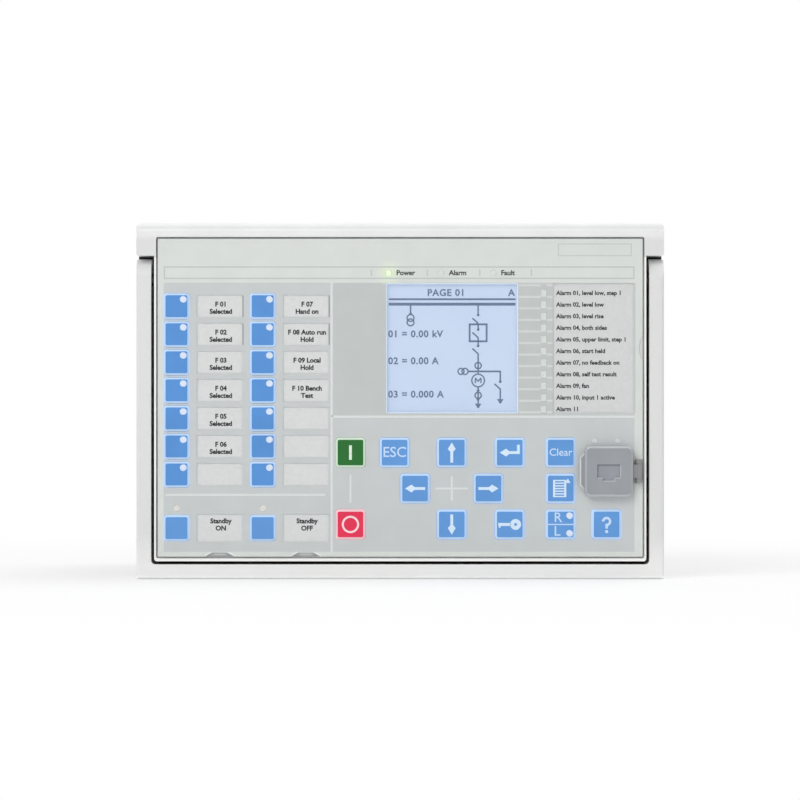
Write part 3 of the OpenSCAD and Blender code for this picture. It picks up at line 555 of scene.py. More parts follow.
# Finishes by name: the function that makes each one, and what it is given
finishTable = {
    "frameMoulding": (frameMoulding,),
    "handleMoulding": (handleMoulding,),
    "collarMoulding": (moulded, (226, 227, 226), 0.48, 0.015, 2200),
    "gasketFoam": (moulded, (38, 39, 40), 0.85, 0.12, 900, 0.5, 0, 0.2),
    "filmPrint": (filmPrint,),
    "panelMoulding": (moulded, (176, 180, 180), 0.5),
    "labelPaper": (labelPaper,),
    "clearPane": (clearPane,),
    "crystalFace": (crystalFace,),
    "crystalInk": (inkPrint, (42, 80, 130)),
    # Painted glow for the display's bezel and the walls round it
    "displayBezel": (litLens, (202, 212, 224), 0.64),
    # Key caps: the Edge finishes are painted highlights on the bevels, the Glow finishes painted light in
    # the gaps round the caps
    "keyBlue": (moulded, (84, 144, 212), 0.5, 0.02),
    "keyBlueLight": (moulded, (94, 151, 215), 0.5, 0.02),
    "keyBlueEdge": (moulded, (190, 216, 246), 0.5, 0.02),
    "keyBlueGlow": (litLens, (176, 206, 240), 0.5),
    "keyGreen": (moulded, (22, 104, 32), 0.5, 0.03),
    "keyGreenEdge": (moulded, (206, 226, 206), 0.5, 0.02),
    "keyGreenGlow": (litLens, (196, 218, 196), 0.5),
    "keyRed": (moulded, (228, 42, 80), 0.5, 0.03),
    "keyRedEdge": (moulded, (240, 200, 208), 0.5, 0.02),
    "keyRedGlow": (litLens, (232, 190, 198), 0.5),
    "legendWhite": (inkPrint, (214, 233, 250)),
    "legendSoft": (inkPrint, (198, 221, 248)),
    "legendGreen": (inkPrint, (220, 238, 220)),
    "legendRed": (inkPrint, (250, 220, 224)),
    "paintedEdgeHighlight": (inkPrint, (232, 234, 231)),
    "printLight": (inkPrint, (219, 223, 222)),
    "printPale": (inkPrint, (209, 214, 212)),
    "printGrey": (inkPrint, (192, 198, 196)),
    "printBlack": (inkPrint, (44, 48, 50)),
    "coverRubber": (moulded, (152, 156, 161), 0.6, 0.02, 1800, 0.2, 0, 0.3),
    "coverEdge": (moulded, (190, 193, 195), 0.55, 0.02, 1800, 0.15),
    "coverLip": (moulded, (208, 211, 212), 0.55, 0.02, 1800, 0.15),
    "coverFlank": (moulded, (172, 175, 179), 0.58, 0.02, 1800, 0.18),
    "coverTab": (moulded, (140, 141, 142), 0.62, 0.02, 1800, 0.2),
    "coverMark": (moulded, (146, 150, 156), 0.62, 0.02, 1800, 0.2),
    "coverShade": (moulded, (118, 121, 127), 0.62, 0.02, 1800, 0.2),
    "lensAlarm": (litLens, (214, 219, 215), 0.02),
    "lensWarm": (litLens, (224, 219, 212), 0.02),
    "lensPort": (litLens, (215, 220, 219), 0.03),
    # Painted glow for the flanks of the lenses
    "lensFlank": (litLens, (208, 213, 210), 0.62),
    "lensOff": (moulded, (217, 221, 217), 0.4, 0.02),
    "lensLit": (litLens, (226, 242, 204), 0.16),
    "keyDot": (litLens, (220, 231, 247), 0.02),
    "darkSteel": (zincSheet, (70, 72, 74), 0.4, 0.9),
    "darkPlastic": (moulded, (42, 44, 46), 0.5, 0.05),
    "caseSheet": (zincSheet, (206, 208, 208), 0.42, 0.75),
    "chassisSheet": (zincSheet, (202, 205, 206), 0.36, 0.9),
    "boardLaminate": (boardLaminate,),
    "backplaneLaminate": (boardLaminate, Vector((quarter, 0, 0)), False),
    "chipBlack": (moulded, (34, 35, 37), 0.55, 0.05),
    "relayBox": (moulded, (226, 226, 218), 0.4, 0.02),
    "capacitorSleeve": (moulded, (32, 40, 62), 0.35, 0.04),
    "transformerTape": (moulded, (206, 176, 62), 0.5, 0.03),
    "heatSink": (zincSheet, (186, 188, 190), 0.4, 0.95),
    "terminalGreen": (moulded, (92, 116, 96), 0.5, 0.03),
    "terminalDark": (moulded, (66, 69, 70), 0.5, 0.03),
    "platedSteel": (zincSheet, (208, 210, 211), 0.3, 1.0),
    "brassStud": (moulded, (196, 160, 80), 0.3, 0.04, 1800, 0.1, 1.0),
    "contactGold": (moulded, (220, 178, 92), 0.25, 0.03, 1800, 0.05, 1.0),
    "coilWire": (woundWire,),
    "lampGreen": (litLens, (120, 172, 108), 0.05),
    "lampAmber": (litLens, (204, 172, 92), 0.05),
    "coreSteel": (moulded, (92, 90, 88), 0.45, 0.06, 900, 0.3, 0.8),
}


def makeFinish(name, make, *given):
    finish = Finish(bpy.data.materials.new(name))
    make(finish, *given)
    return finish.owner


finishes = {name: makeFinish(name, *entry) for name, entry in finishTable.items()}
print("stage: finishes,", len(finishes))


# CAD nodes keep their meshes and get their finishes here
def dress(node, *names):
    mesh = nodes[node].data
    mesh.materials.clear()
    for name in names:
        mesh.materials.append(finishes[name])
    return mesh


# The rule gives each face the name of one of the finishes
def paintFaces(node, names, rule):
    mesh = dress(node, *names)
    for face in mesh.polygons:
        face.material_index = names.index(rule(face))


plain = {
    "caseSheet": ("case_tray", "case_cover", "rear_panel"),
    "platedSteel": ("terminal_screws", "lan_sockets", "case_screws"),
    "darkPlastic": ("guide_rails", "backplane_sockets", "service_port"),
    "gasketFoam": ("panel_gasket",), "backplaneLaminate": ("backplane_board",),
    "boardLaminate": ("keypad_board",), "chassisSheet": ("unit_chassis",), "brassStud": ("earth_stud",),
    "frameMoulding": ("front_frame",), "handleMoulding": ("pull_handle",), "darkSteel": ("handle_pins",),
    "clearPane": ("display_window",), "keyDot": ("key_light_pipes",), "labelPaper": ("label_strips",),
}
for name, dressed in plain.items():
    for node in dressed:
        dress(node, name)

# Share of a face's normal along Y beyond which the face looks straight to the front or the rear
straight = 0.9

# Blocks behind: three green signal blocks and one dark current block
darkWidth = 45 * mm
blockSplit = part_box("terminal_blocks")[1].x - darkWidth
paintFaces(
    "terminal_blocks", ("terminalGreen", "terminalDark"),
    lambda face: "terminalDark" if face.center.x > blockSplit else "terminalGreen",
)

# Wound coils between the broader laminated cores
coilHalf = 12.1 * mm
coilX = centreOf("current_transformers").x


def coilFinish(face):
    outside = abs(face.center.x - coilX) > coilHalf
    return "coreSteel" if outside or abs(face.normal.y) > straight else "coilWire"


paintFaces("current_transformers", ("coilWire", "coreSteel"), coilFinish)

# Only the glass of the display shows the lit face; the rest of the module is painted with a glow, painted
# light that brightens its shaded edges
glassDepth = 0.1 * mm
paintFaces(
    "display_module", ("crystalFace", "displayBezel"),
    lambda face: "crystalFace" if face.center.y < glassY + glassDepth else "displayBezel",
)

# The face of the mounting frame behind the handle is painted as dark foam: painted shade that darkens the
# slot round the handle
paintFaces(
    "mounting_frame", ("collarMoulding", "gasketFoam"),
    lambda face: "gasketFoam" if face.normal.y < -straight else "collarMoulding",
)

# Lamps: the first status lamp is lit
lamps = {"radius": 2.0, "statusLow": field["top"], "portLeft": display["right"] + 20, "front": -0.5}


def lampFinish(face):
    x, z = face.center.x / mm, face.center.z / mm
    # The flanks of every lens are painted with a glow, painted light
    if face.normal.y > lamps["front"]:
        return "lensFlank"
    if math.hypot(x - statusLamp["x"], z - statusLamp["z"]) < lamps["radius"]:
        return "lensLit"
    if z > lamps["statusLow"]:
        return "lensOff"
    if x > lamps["portLeft"]:
        return "lensPort"
    return "lensWarm" if x < display["left"] else "lensAlarm"


lampNames = ("lensAlarm", "lensLit", "lensOff", "lensWarm", "lensPort", "lensFlank")
paintFaces("indicator_lenses", lampNames, lampFinish)

# Caps: coloured face, a bevel painted pale as a painted highlight, and flanks painted with a glow, painted
# light that brightens the gaps round them
keyColours = {"close_key": "keyGreen", "open_key": "keyRed"}
capLimit = {"face": -0.98, "bevel": -0.2}
keyNames = [name for name in nodes if name.endswith("_key") or name.startswith("function_key_")]


def capFinish(face, names):
    if face.normal.y < capLimit["face"]:
        return names[0]
    return names[1] if face.normal.y < capLimit["bevel"] else names[2]


keyBoxes = []
lightFrom = centreOf("function_key_15").z + mm                  # caps from this row down are lighter
for name in keyNames:
    tint = keyColours.get(name, "keyBlue")
    light = tint == "keyBlue" and (name.endswith("_key") or centreOf(name).z < lightFrom)
    capNames = (tint + "Light" if light else tint, tint + "Edge", tint + "Glow")
    paintFaces(name, capNames, lambda face: capFinish(face, capNames))
    keyBoxes.append((*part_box(name), tint + "Glow"))

# Walls of the openings round the caps and the display get the same painted glow, painted light that
# brightens the gaps
wall = {"limit": 0.5, "round": 2.0}


def wallGlow(face):
    if abs(face.normal.y) > wall["limit"]:
        return None
    x, z = face.center.x / mm, face.center.z / mm
    across = display["left"] - wall["round"] < x < display["right"] + wall["round"]
    if across and display["bottom"] - wall["round"] < z < display["top"] + wall["round"]:
        return "displayBezel"
    for low, high, glow in keyBoxes:
        if low.x < face.center.x < high.x and low.z - mm < face.center.z < high.z + mm:
            return glow
    return None


# The lugs of the cover's hinge stand proud of the film and match the cover
lugs = {"left": film["right"] - 4.6, "reach": 7.0, "z": centreOf("service_port").z / mm, "proud": 0.05}


def panelFinish(face):
    proud = face.center.y < filmY - lugs["proud"] * mm
    if proud and face.center.x / mm > lugs["left"] and abs(face.center.z / mm - lugs["z"]) < lugs["reach"]:
        return "coverTab"
    return wallGlow(face) or "panelMoulding"


glowNames = ("keyBlueGlow", "keyGreenGlow", "keyRedGlow", "displayBezel")
paintFaces("front_film", ("filmPrint", *glowNames), lambda face: wallGlow(face) or "filmPrint")
paintFaces("front_panel", ("panelMoulding", *glowNames, "coverTab"), panelFinish)

# Port cover: the bevels are painted lighter as painted highlights, most of all those above and below; the
# socket mark is sunk and painted a little darker, as painted shade
coverBox = edgesOf("port_cover")
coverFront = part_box("port_cover")[0].y
coverLimit = {"face": -0.95, "bevel": -0.2, "rims": 1, "play": 0.2}
blockHalf = (coverBox["top"] - coverBox["bottom"] - coverLimit["rims"]) / 2
tabLeft = (centreOf("service_port").x / mm + blockHalf + coverLimit["play"]) * mm
bevelDepth = 1.2 * mm
markDepth = 0.3 * mm


def coverFinish(face):
    if face.center.x > tabLeft:
        return "coverTab"
    bevelled = coverLimit["face"] < face.normal.y < coverLimit["bevel"]
    if bevelled and face.center.y < coverFront + bevelDepth:
        return "coverFlank" if abs(face.normal.x) > abs(face.normal.z) else "coverEdge"
    sunk = coverFront + markDepth < face.center.y < coverFront + 2 * markDepth
    return "coverMark" if sunk and face.normal.y < coverLimit["face"] else "coverRubber"


paintFaces("port_cover", ("coverRubber", "coverEdge", "coverMark", "coverFlank", "coverTab"), coverFinish)

# Boards: laminate on the plate, a finish for each kind of part on it
plateDepth = 1.8 * mm


# The parts stand on the left of each plate
def onPlate(face, node):
    return face.center.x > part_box(node)[1].x - plateDepth


for node, part in (("processor_board", "chipBlack"), ("output_board", "relayBox")):
    paintFaces(node, ("boardLaminate", part), lambda face: "boardLaminate" if onPlate(face, node) else part)

# Supply board: heat sink at the rear, transformer above and capacitors below
sinkShare = 0.69


def supplyFinish(face):
    low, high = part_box("supply_board")
    if onPlate(face, "supply_board"):
        return "boardLaminate"
    if face.center.y > low.y + sinkShare * (high.y - low.y):
        return "heatSink"
    return "transformerTape" if face.center.z > 0 else "capacitorSleeve"


supplyNames = ("boardLaminate", "capacitorSleeve", "transformerTape", "heatSink")
paintFaces("supply_board", supplyNames, supplyFinish)
print("stage: nodes dressed")

# Prints on the film, and a painted highlight along the finger notches
filmLines = {"depth": 0.03, "line": 1.1, "row": 1.1, "grey": 0.65, "thin": 0.4}
unitBody = "withdrawable_unit"


def printPiece(parts, name, finish):
    finishPiece(thicken(joinAll(parts), filmLines["depth"]), name, unitBody, finish)


def lightPrint():
    line = filmLines["line"]
    away = {"split": 27.2, "under": 1.8, "lone": 16.5, "shift": 1.2, "spare": 4}
    cross = {"line": 0.9, "across": 16.2, "rise": 3.3, "arm": 5.6, "between": 14.0}
    split = display["left"] - away["split"]                     # between the function keys and the display
    under = display["bottom"] - away["under"]
    switch, up = centreOf("close_key") / mm, centreOf("up_key") / mm
    left, low = centreOf("left_key") / mm, centreOf("open_key") / mm
    lone = centreOf("function_key_15").z / mm + away["lone"]
    loneWidth = split - field["left"] - away["spare"]
    bars = [
        (split, (field["top"] + field["bottom"]) / 2, line, field["top"] - field["bottom"]),
        ((split + field["right"]) / 2, under, field["right"] - split, line),
        ((field["left"] + split) / 2 - away["shift"], lone, loneWidth, line),
        (up.x, left.z, cross["across"], cross["line"]),
        (up.x, left.z + cross["rise"], cross["line"], cross["arm"]),
        (up.x, left.z - cross["rise"], cross["line"], cross["arm"]),
        (switch.x, (switch.z + low.z) / 2, cross["line"], cross["between"]),
    ]
    printPiece([addBars(bars, filmY)], "film_light_lines", "printLight")


# Light lines above, between and below the alarm lamps, each in two parts that leave the lamps free
def rowPrint():
    rows = {"count": 12, "above": 0.9, "below": 0.4, "bars": ((0.4, 11.2), (14.3, 17.2))}
    first, last = display["top"] - rows["above"], display["bottom"] + rows["below"]
    pitch = (first - last) / (rows["count"] - 1)
    bars = []
    for i in range(rows["count"]):
        z = first - pitch * i
        for left, right in rows["bars"]:
            bars.append((display["right"] + (left + right) / 2, z, right - left, filmLines["row"]))
    printPiece([addBars(bars, filmY)], "film_row_lines", "printPale")


def darkPrint():
    strip = {"bottom": field["top"] + 1.8, "top": field["top"] + 8.1}
    window = {"left": field["right"] - 38.0, "right": field["right"] - 1.4, "bottom": film["top"] - 8.6,
              "top": film["top"] - 2.4}
    tick = {"places": (-7.5, 20.3, 46.4, 72.0), "height": 3.2}
    listAway = 0.2
    line, thin = filmLines["grey"], filmLines["thin"]
    middle = (strip["bottom"] + strip["top"]) / 2
    ticks = [(display["left"] + away, middle, line, tick["height"]) for away in tick["places"]]
    listMiddle = (display["bottom"] + display["top"]) / 2
    parts = [
        addOutline(field["left"], field["right"], strip["bottom"], strip["top"], line, filmY),
        addOutline(window["left"], window["right"], window["bottom"], window["top"], thin, filmY),
        addBars(ticks, filmY),
        addBars([(field["right"] + listAway, listMiddle, thin, display["top"] - display["bottom"])], filmY),
    ]
    printPiece(parts, "film_grey_lines", "printGrey")


# Painted highlight along the film's cut edge at the sloping ends of the finger notches
def notchPrint():
    notch = {"outer": 7.9, "inner": 4.3, "foot": 0.3, "rise": 2.0, "line": 0.7}
    foot = film["bottom"] + notch["foot"]
    parts = []
    for x in labelColumns:
        for side in (-1, 1):
            parts.append(addStroke(
                x + side * notch["outer"], foot, x + side * notch["inner"], foot + notch["rise"],
                notch["line"], filmY,
            ))
    printPiece(parts, "film_notch_highlights", "paintedEdgeHighlight")


lightPrint()
rowPrint()
darkPrint()
notchPrint()
print("stage: film lines")

# Generic words: labels, status lamps and the alarm list
labelLook = {"size": 3.3, "bold": 0.04, "depth": 0.03}
labelPlace = {"offset": 22.0, "upper": 0.9, "lower": -2.7, "loneFrom": 15, "loneLift": 2.5}
labelWords = {
    1: ("F 01", "Selected"), 3: ("F 02", "Selected"), 5: ("F 03", "Selected"), 7: ("F 04", "Selected"),
    9: ("F 05", "Selected"), 11: ("F 06", "Selected"), 2: ("F 07", "Hand on"), 4: ("F 08 Auto run", "Hold"),
    6: ("F 09 Local", "Hold"), 8: ("F 10 Bench", "Test"), 15: ("Standby", "ON"), 16: ("Standby", "OFF"),
}


def labelPrint():
    parts = []
    for number, lines in labelWords.items():
        key = centreOf(f"function_key_{number}") / mm
        lift = labelPlace["loneLift"] if number >= labelPlace["loneFrom"] else 0
        for text, rise in zip(lines, (labelPlace["upper"], labelPlace["lower"])):
            x, z = key.x + labelPlace["offset"], key.z + rise + lift
            parts.append(addWord(text, x, z, stripY, labelLook))
    finishPiece(joinAll(parts), "label_words", unitBody, "printBlack")


statusLook = {"size": 3.5, "bold": 0.028, "depth": 0.03, "align": "LEFT"}
statusWords = {"Power": 4.9, "Alarm": 31.1, "Fault": 56.9}


def statusPrint():
    parts = [
        addWord(text, display["left"] + away, statusLamp["z"], filmY, statusLook)
        for text, away in statusWords.items()
    ]
    finishPiece(joinAll(parts), "status_words", unitBody, "printBlack")


# Shaded right-hand edge of the upper label windows
def labelEdges():
    edge = {"away": 11.6, "w": 0.4, "h": 10.6, "windows": 4}
    bars = []
    for i in range(edge["windows"]):
        key = centreOf(f"function_key_{i + 1}") / mm
        bars.append((key.x + columnPitch / 2 + edge["away"], key.z, edge["w"], edge["h"]))
    printPiece([addBars(bars, filmY)], "label_edges", "coverShade")


alarmLook = {"size": 3.0, "bold": 0.032, "depth": 0.03, "align": "LEFT", "smooth": 2}
alarmList = {"left": display["right"] + 19.0, "top": display["top"] - 4.8, "pitch": 5.77}
alarmWords = (
    "Alarm 01, level low, step 1", "Alarm 02, level low", "Alarm 03, level rise", "Alarm 04, both sides",
    "Alarm 05, upper limit, step 1", "Alarm 06, start held", "Alarm 07, no feedback on",
    "Alarm 08, self test result", "Alarm 09, fan", "Alarm 10, input 1 active", "Alarm 11",
)


def alarmPrint():
    parts = [
        addWord(text, alarmList["left"], alarmList["top"] - alarmList["pitch"] * i, stripY, alarmLook)
        for i, text in enumerate(alarmWords)
    ]
    finishPiece(joinAll(parts), "alarm_words", unitBody, "printBlack")


labelPrint()
labelEdges()
statusPrint()
alarmPrint()
print("stage: words")

# Picture on the display: a plain one-line diagram of a motor feeder with zero readings beside it;
# places are in mm to the right of the face's left edge and below its top edge
picture = {
    "depth": 0.02, "line": 0.76, "ring": 0.7, "node": 0.7, "nodeSides": 12, "blade": (2.9, 2.6),
    "readingLeft": 0.9, "titleDrop": 4.7,
}
columns = {"tap": 12.0, "outer": 37.1, "inner": 39.1, "feeder": 45.6, "branch": 56.6}
bus = {"margin": 1.2, "upper": 7.8, "thin": 0.95, "lower": 10.25, "thick": 1.45}
tie = {"start": 40.8, "drop": 43.7, "line": 0.9}
breaker = {"half": 4.7, "top": 19.8, "bottom": 29.2, "line": 0.95}
earthArrow = {"w": 3.2, "h": 2.2, "point": 0.25}
motor = {"drop": 48.2, "radius": 3.5, "line": 0.65}
motorSign = ((-1.4, 1.3), (-1.4, -1.3), (0, 0.5), (1.4, -1.3), (1.4, 1.3))

# Column and drop of each symbol, then where an upright ends or the radius of a ring
diagram = {
    "upright": (
        ("tap", 10.3, 15.2), ("feeder", 10.3, 15.9), ("feeder", 20.0, 23.1), ("feeder", 26.8, 31.2),
        ("feeder", 34.8, 44.8), ("feeder", 51.6, 59.8), ("branch", 43.3, 49.0), ("branch", 52.4, 57.4),
    ),
    "ring": (
        ("tap", 17.1, 2.05), ("tap", 19.3, 2.05), ("feeder", 40.8, 1.9), ("feeder", 55.6, 1.9),
        ("outer", 43.7, 1.85), ("inner", 43.7, 1.85), ("feeder", motor["drop"], motor["radius"]),
    ),
    "node": (
        ("tap", 15.0), ("feeder", 15.6), ("feeder", 22.9), ("feeder", 31.0), ("feeder", 53.2),
        ("feeder", 57.6), ("branch", 48.8),
    ),
    "blade": (("feeder", 17.2), ("feeder", 24.3), ("feeder", 32.3), ("branch", 49.9)),
    "earth": (("feeder", 60.8), ("branch", 58.5)),
}
readingLook = {"size": 4.7, "bold": 0.03, "depth": 0.02, "align": "LEFT", "spacing": 1.1}
titles = {"PAGE 01": 20.3, "A": 60.6}
readings = {"01 = 0.00 kV": 25.2, "02 = 0.00 A": 38.6, "03 = 0.000 A": 55.2}


def displayPicture():
    left, top = display["left"], display["top"]
    line = picture["line"]
    end = display["right"] - left - bus["margin"]

    def upright(x, start, end):
        return addStroke(left + x, top - start, left + x, top - end, line, glassY)

    def level(start, end, drop, wide):
        return addStroke(left + start, top - drop, left + end, top - drop, wide, glassY)

    def blade(x, drop):
        across, down = picture["blade"]
        return addStroke(left + x - across, top - drop, left + x, top - drop - down, line, glassY)

    def ring(x, drop, radius):
        return addDisc(left + x, top - drop, radius, glassY, picture["ring"])

    def node(x, drop):
        return addDisc(left + x, top - drop, picture["node"], glassY, 0, picture["nodeSides"])

    # Solid arrow that stands for earth, made from a rectangle whose lower edge is drawn together
    def earth(x, drop):
        flat = addFlat(left + x, top - drop, earthArrow["w"], earthArrow["h"], glassY)
        below = (top - drop) * mm
        pickEdges(flat, lambda a, b: a.z < below and b.z < below)
        middle = ((left + x) * mm, glassY, below)
        bpy.ops.transform.resize(value=(earthArrow["point"], 1, 1), center_override=middle)
        endEdit()
        return flat

    x, z = left + columns["feeder"], top - motor["drop"]
    half = breaker["half"]
    parts = [
        level(bus["margin"], end, bus["upper"], bus["thin"]),
        level(bus["margin"], end, bus["lower"], bus["thick"]),
        level(tie["start"], columns["branch"], tie["drop"], tie["line"]),
        addOutline(
            x - half, x + half, top - breaker["bottom"], top - breaker["top"], breaker["line"], glassY
        ),
    ]
    draw = {"upright": upright, "ring": ring, "node": node, "blade": blade, "earth": earth}
    for kind, places in diagram.items():
        for column, *values in places:
            parts.append(draw[kind](columns[column], *values))
    for (a, b), (c, d) in zip(motorSign, motorSign[1:]):
        parts.append(addStroke(x + a, z - b, x + c, z - d, motor["line"], glassY))
    parts = [thicken(joinAll(parts), picture["depth"])]
    for text, away in titles.items():
        parts.append(addWord(text, left + away, top - picture["titleDrop"], glassY, readingLook))
    for text, drop in readings.items():
        parts.append(addWord(text, left + picture["readingLeft"], top - drop, glassY, readingLook))
    finishPiece(joinAll(parts), "display_picture", unitBody, "crystalInk")


displayPicture()
print("stage: display picture")

# Legends of the command keys, each on its own key
legend = {"depth": 0.03}
arrow = {"length": 10.0, "shaft": 1.4, "head": 3.9, "barb": 1.5, "tip": 3.2, "tail": 3.2, "tailRise": 2.3}


def legendPiece(parts, key, finish="legendWhite"):
    finishPiece(thicken(joinAll(parts), legend["depth"]), key + "_legend", key, finish)


def keyPlane(key):
    low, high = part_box(key)
    place = (low + high) / 2 / mm
    return place.x, place.z, low.y


# Points to the right, round the origin, before it is turned and moved to its key
def arrowFlat():
    shaft = arrow["length"] - arrow["barb"] - arrow["tip"]
    start = -arrow["length"] / 2
    flat = addFlat(start + shaft / 2, 0, shaft, arrow["shaft"], 0)
    middle = (start + shaft / 2) * mm
    pickEdges(flat, lambda a, b: a.x > middle and b.x > middle)
    bpy.ops.mesh.extrude_edges_move(TRANSFORM_OT_translate={"value": (arrow["barb"] * mm, 0, 0)})
    bpy.ops.transform.resize(
        value=(1, 1, arrow["head"] / arrow["shaft"]), center_override=((start + shaft) * mm, 0, 0)
    )
    bpy.ops.mesh.extrude_edges_move(TRANSFORM_OT_translate={"value": (arrow["tip"] * mm, 0, 0)})
    bpy.ops.mesh.merge(type="CENTER")
    endEdit()
    return flat


def arrowOn(key, turn):
    x, z, y = keyPlane(key)
    flat = arrowFlat()
    flat.rotation_euler = (0, -turn, 0)
    flat.location = (x * mm, y, z * mm)
    return applyPlace(flat)


def enterLegend(key):
    x, z, y = keyPlane(key)
    flat = arrowOn(key, -math.pi)
    end = x + arrow["length"] / 2 - arrow["shaft"] / 2
    legendPiece([flat, addFlat(end, z + arrow["tailRise"], arrow["shaft"], arrow["tail"], y)], key)


def wordLegend(key, text, look):
    x, z, y = keyPlane(key)
    finishPiece(addWord(text, x, z, y, look), key + "_legend", key, "legendSoft")


def barLegend(key):
    bar = {"w": 1.4, "h": 7.2}
    x, z, y = keyPlane(key)
    legendPiece([addFlat(x, z, bar["w"], bar["h"], y)], key, "legendGreen")


def ringLegend(key):
    ring = {"radius": 4.3, "line": 1.0, "sides": 48}
    x, z, y = keyPlane(key)
    parts = [addDisc(x, z, ring["radius"], y, ring["line"], ring["sides"])]
    legendPiece(parts, key, "legendRed")


# Question sign: a ring with its lower left quarter taken out, a stem and a dot
def helpLegend(key):
    x, z, y = keyPlane(key)
    sign = {
        "radius": 2.35, "line": 1.25, "rise": 1.5, "stem": 1.2, "dot": 0.8, "dotDrop": 2.7, "dotSides": 20,
        "step": 0.012,
    }
    middle = z + sign["rise"]
    hook = addDisc(x, middle, sign["radius"], y, sign["line"])
    pickFaces(hook, lambda face: face.center.x < x * mm and face.center.z < middle * mm)
    bpy.ops.mesh.delete(type="FACE")
    endEdit()
    foot = middle - sign["radius"]
    near = y - sign["step"] * mm                                # the stem lies over the end of the hook
    height = sign["line"] + sign["stem"]
    stem = addFlat(x, foot + sign["line"] / 2 - sign["stem"] / 2, sign["line"], height, near)
    dot = addDisc(x, foot - sign["dotDrop"], sign["dot"], y, 0, sign["dotSides"])
    legendPiece([hook, stem, dot], key, "legendSoft")


# Key with a round bow on the right and one tooth under its shank
def loginLegend(key):
    bow = {"x": 2.9, "radius": 2.7, "line": 1.95}
    shank = {"x": -2.6, "w": 6.2, "h": 1.5}
    tooth = {"x": -5.0, "z": -1.2, "size": 0.9}
    x, z, y = keyPlane(key)
    bars = [
        (x + shank["x"], z, shank["w"], shank["h"]),
        (x + tooth["x"], z + tooth["z"], tooth["size"], tooth["size"]),
    ]
    legendPiece([addDisc(x + bow["x"], z, bow["radius"], y, bow["line"]), addBars(bars, y)], key)


# Sheet of paper with a folded corner and lines of writing cut through it
def menuLegend(key):
    x, z, y = keyPlane(key)
    page = {"w": 6.6, "h": 8.6, "shift": 0.5, "margin": 1.0, "rows": 6}
    fold = {"radius": 1.5, "x": 0.75, "drop": 0.8, "sides": 3}
    left, top = x - page["w"] / 2 - page["shift"], z + page["h"] / 2
    step = page["h"] / (2 * page["rows"] + 1)
    bars = []
    for i in range(page["rows"] + 1):
        bars.append((left + page["w"] / 2, top - (2 * i + 0.5) * step, page["w"], step))
    for i in range(page["rows"]):
        row = top - (2 * i + 1.5) * step
        bars.append((left + page["margin"] / 2, row, page["margin"], step))
        bars.append((left + page["w"] - page["margin"] / 2, row, page["margin"], step))
    corner = addDisc(left + page["w"] + fold["x"], top - fold["drop"], fold["radius"], y, 0, fold["sides"])
    legendPiece([addBars(bars, y), corner], key)


def remoteLegend(key):
    x, z, y = keyPlane(key)
    look = {"size": 6.8, "bold": 0.008, "depth": legend["depth"]}
    letters = {"R": (-1.4, 3.3), "L": (-1.8, -3.5)}
    bar = {"w": 12.6, "h": 0.6}
    parts = [addWord(text, x + across, z + rise, y, look) for text, (across, rise) in letters.items()]
    parts.append(thicken(addFlat(x, z, bar["w"], bar["h"], y), legend["depth"]))
    finishPiece(joinAll(parts), key + "_legend", key, "legendSoft")


for key, turn in (("right_key", 0), ("up_key", quarter), ("left_key", math.pi), ("down_key", -quarter)):
    legendPiece([arrowOn(key, turn)], key)
enterLegend("enter_key")
wordLegend("escape_key", "ESC", {"width": 11.2, "bold": 0.006, "depth": legend["depth"]})
wordLegend("clear_key", "Clear", {"width": 11.4, "bold": 0.01, "depth": legend["depth"]})
helpLegend("help_key")
barLegend("close_key")
ringLegend("open_key")
loginLegend("login_key")
menuLegend("menu_key")
remoteLegend("remote_local_key")
print("stage: legends")

# Light and shade along the edges of the cover's socket mark and lift lip
coverMark = {"line": 0.4, "depth": 0.03, "half": 5.7, "tall": 3.3, "tab": 2.85, "tabDrop": 1.5}
coverLip = {"line": 0.7, "drop": 1.85, "left": 0.3, "root": 2.1, "half": 6.8, "slope": 1.9}


def coverPiece(strokes, line, y, name, finish):
    flat = joinAll([addStroke(*stroke, line, y) for stroke in strokes])
    finishPiece(thicken(flat, coverMark["depth"]), name, "port_cover", finish)


def coverStrokes():
    middleX, middleZ = centreOf("service_port").x / mm, centreOf("service_port").z / mm
    half, tall, tab = coverMark["half"], coverMark["tall"], coverMark["tab"]
    foot = -tall - coverMark["tabDrop"]
    pale = [
        (half, tall, half, -tall), (half, -tall, tab, -tall), (tab, -tall, tab, foot),
        (tab, foot, -tab, foot), (-tab, -tall, -half, -tall),
    ]
    deep = [(-half, -tall, -half, tall), (-half, tall, half, tall), (-tab, foot, -tab, -tall)]
    marks = (("cover_mark_light", pale, "coverEdge"), ("cover_mark_shade", deep, "coverShade"))
    for name, strokes, finish in marks:
        placed = [(middleX + a, middleZ + b, middleX + c, middleZ + d) for a, b, c, d in strokes]
        coverPiece(placed, coverMark["line"], coverFront, name, finish)
    lip, root = coverBox["left"] + coverLip["left"], coverBox["left"] + coverLip["root"]
    near, far = coverLip["half"], coverLip["half"] + coverLip["slope"]
    corners = [(root, middleZ + far), (lip, middleZ + near), (lip, middleZ - near), (root, middleZ - far)]
    placed = [(*a, *b) for a, b in zip(corners, corners[1:])]
    coverPiece(placed, coverLip["line"], coverFront + coverLip["drop"] * mm, "cover_lip_light", "coverLip")


coverStrokes()
print("stage: port cover")

# Sockets: eight sprung contacts in each
contact = {
    "width": 0.45, "pitch": 1.02, "count": 8, "thick": 0.25, "start": 2.0, "rise": 2.9, "length": 1.2,
}
bends = ((5.2, -2.6), (0.9, 0.5))


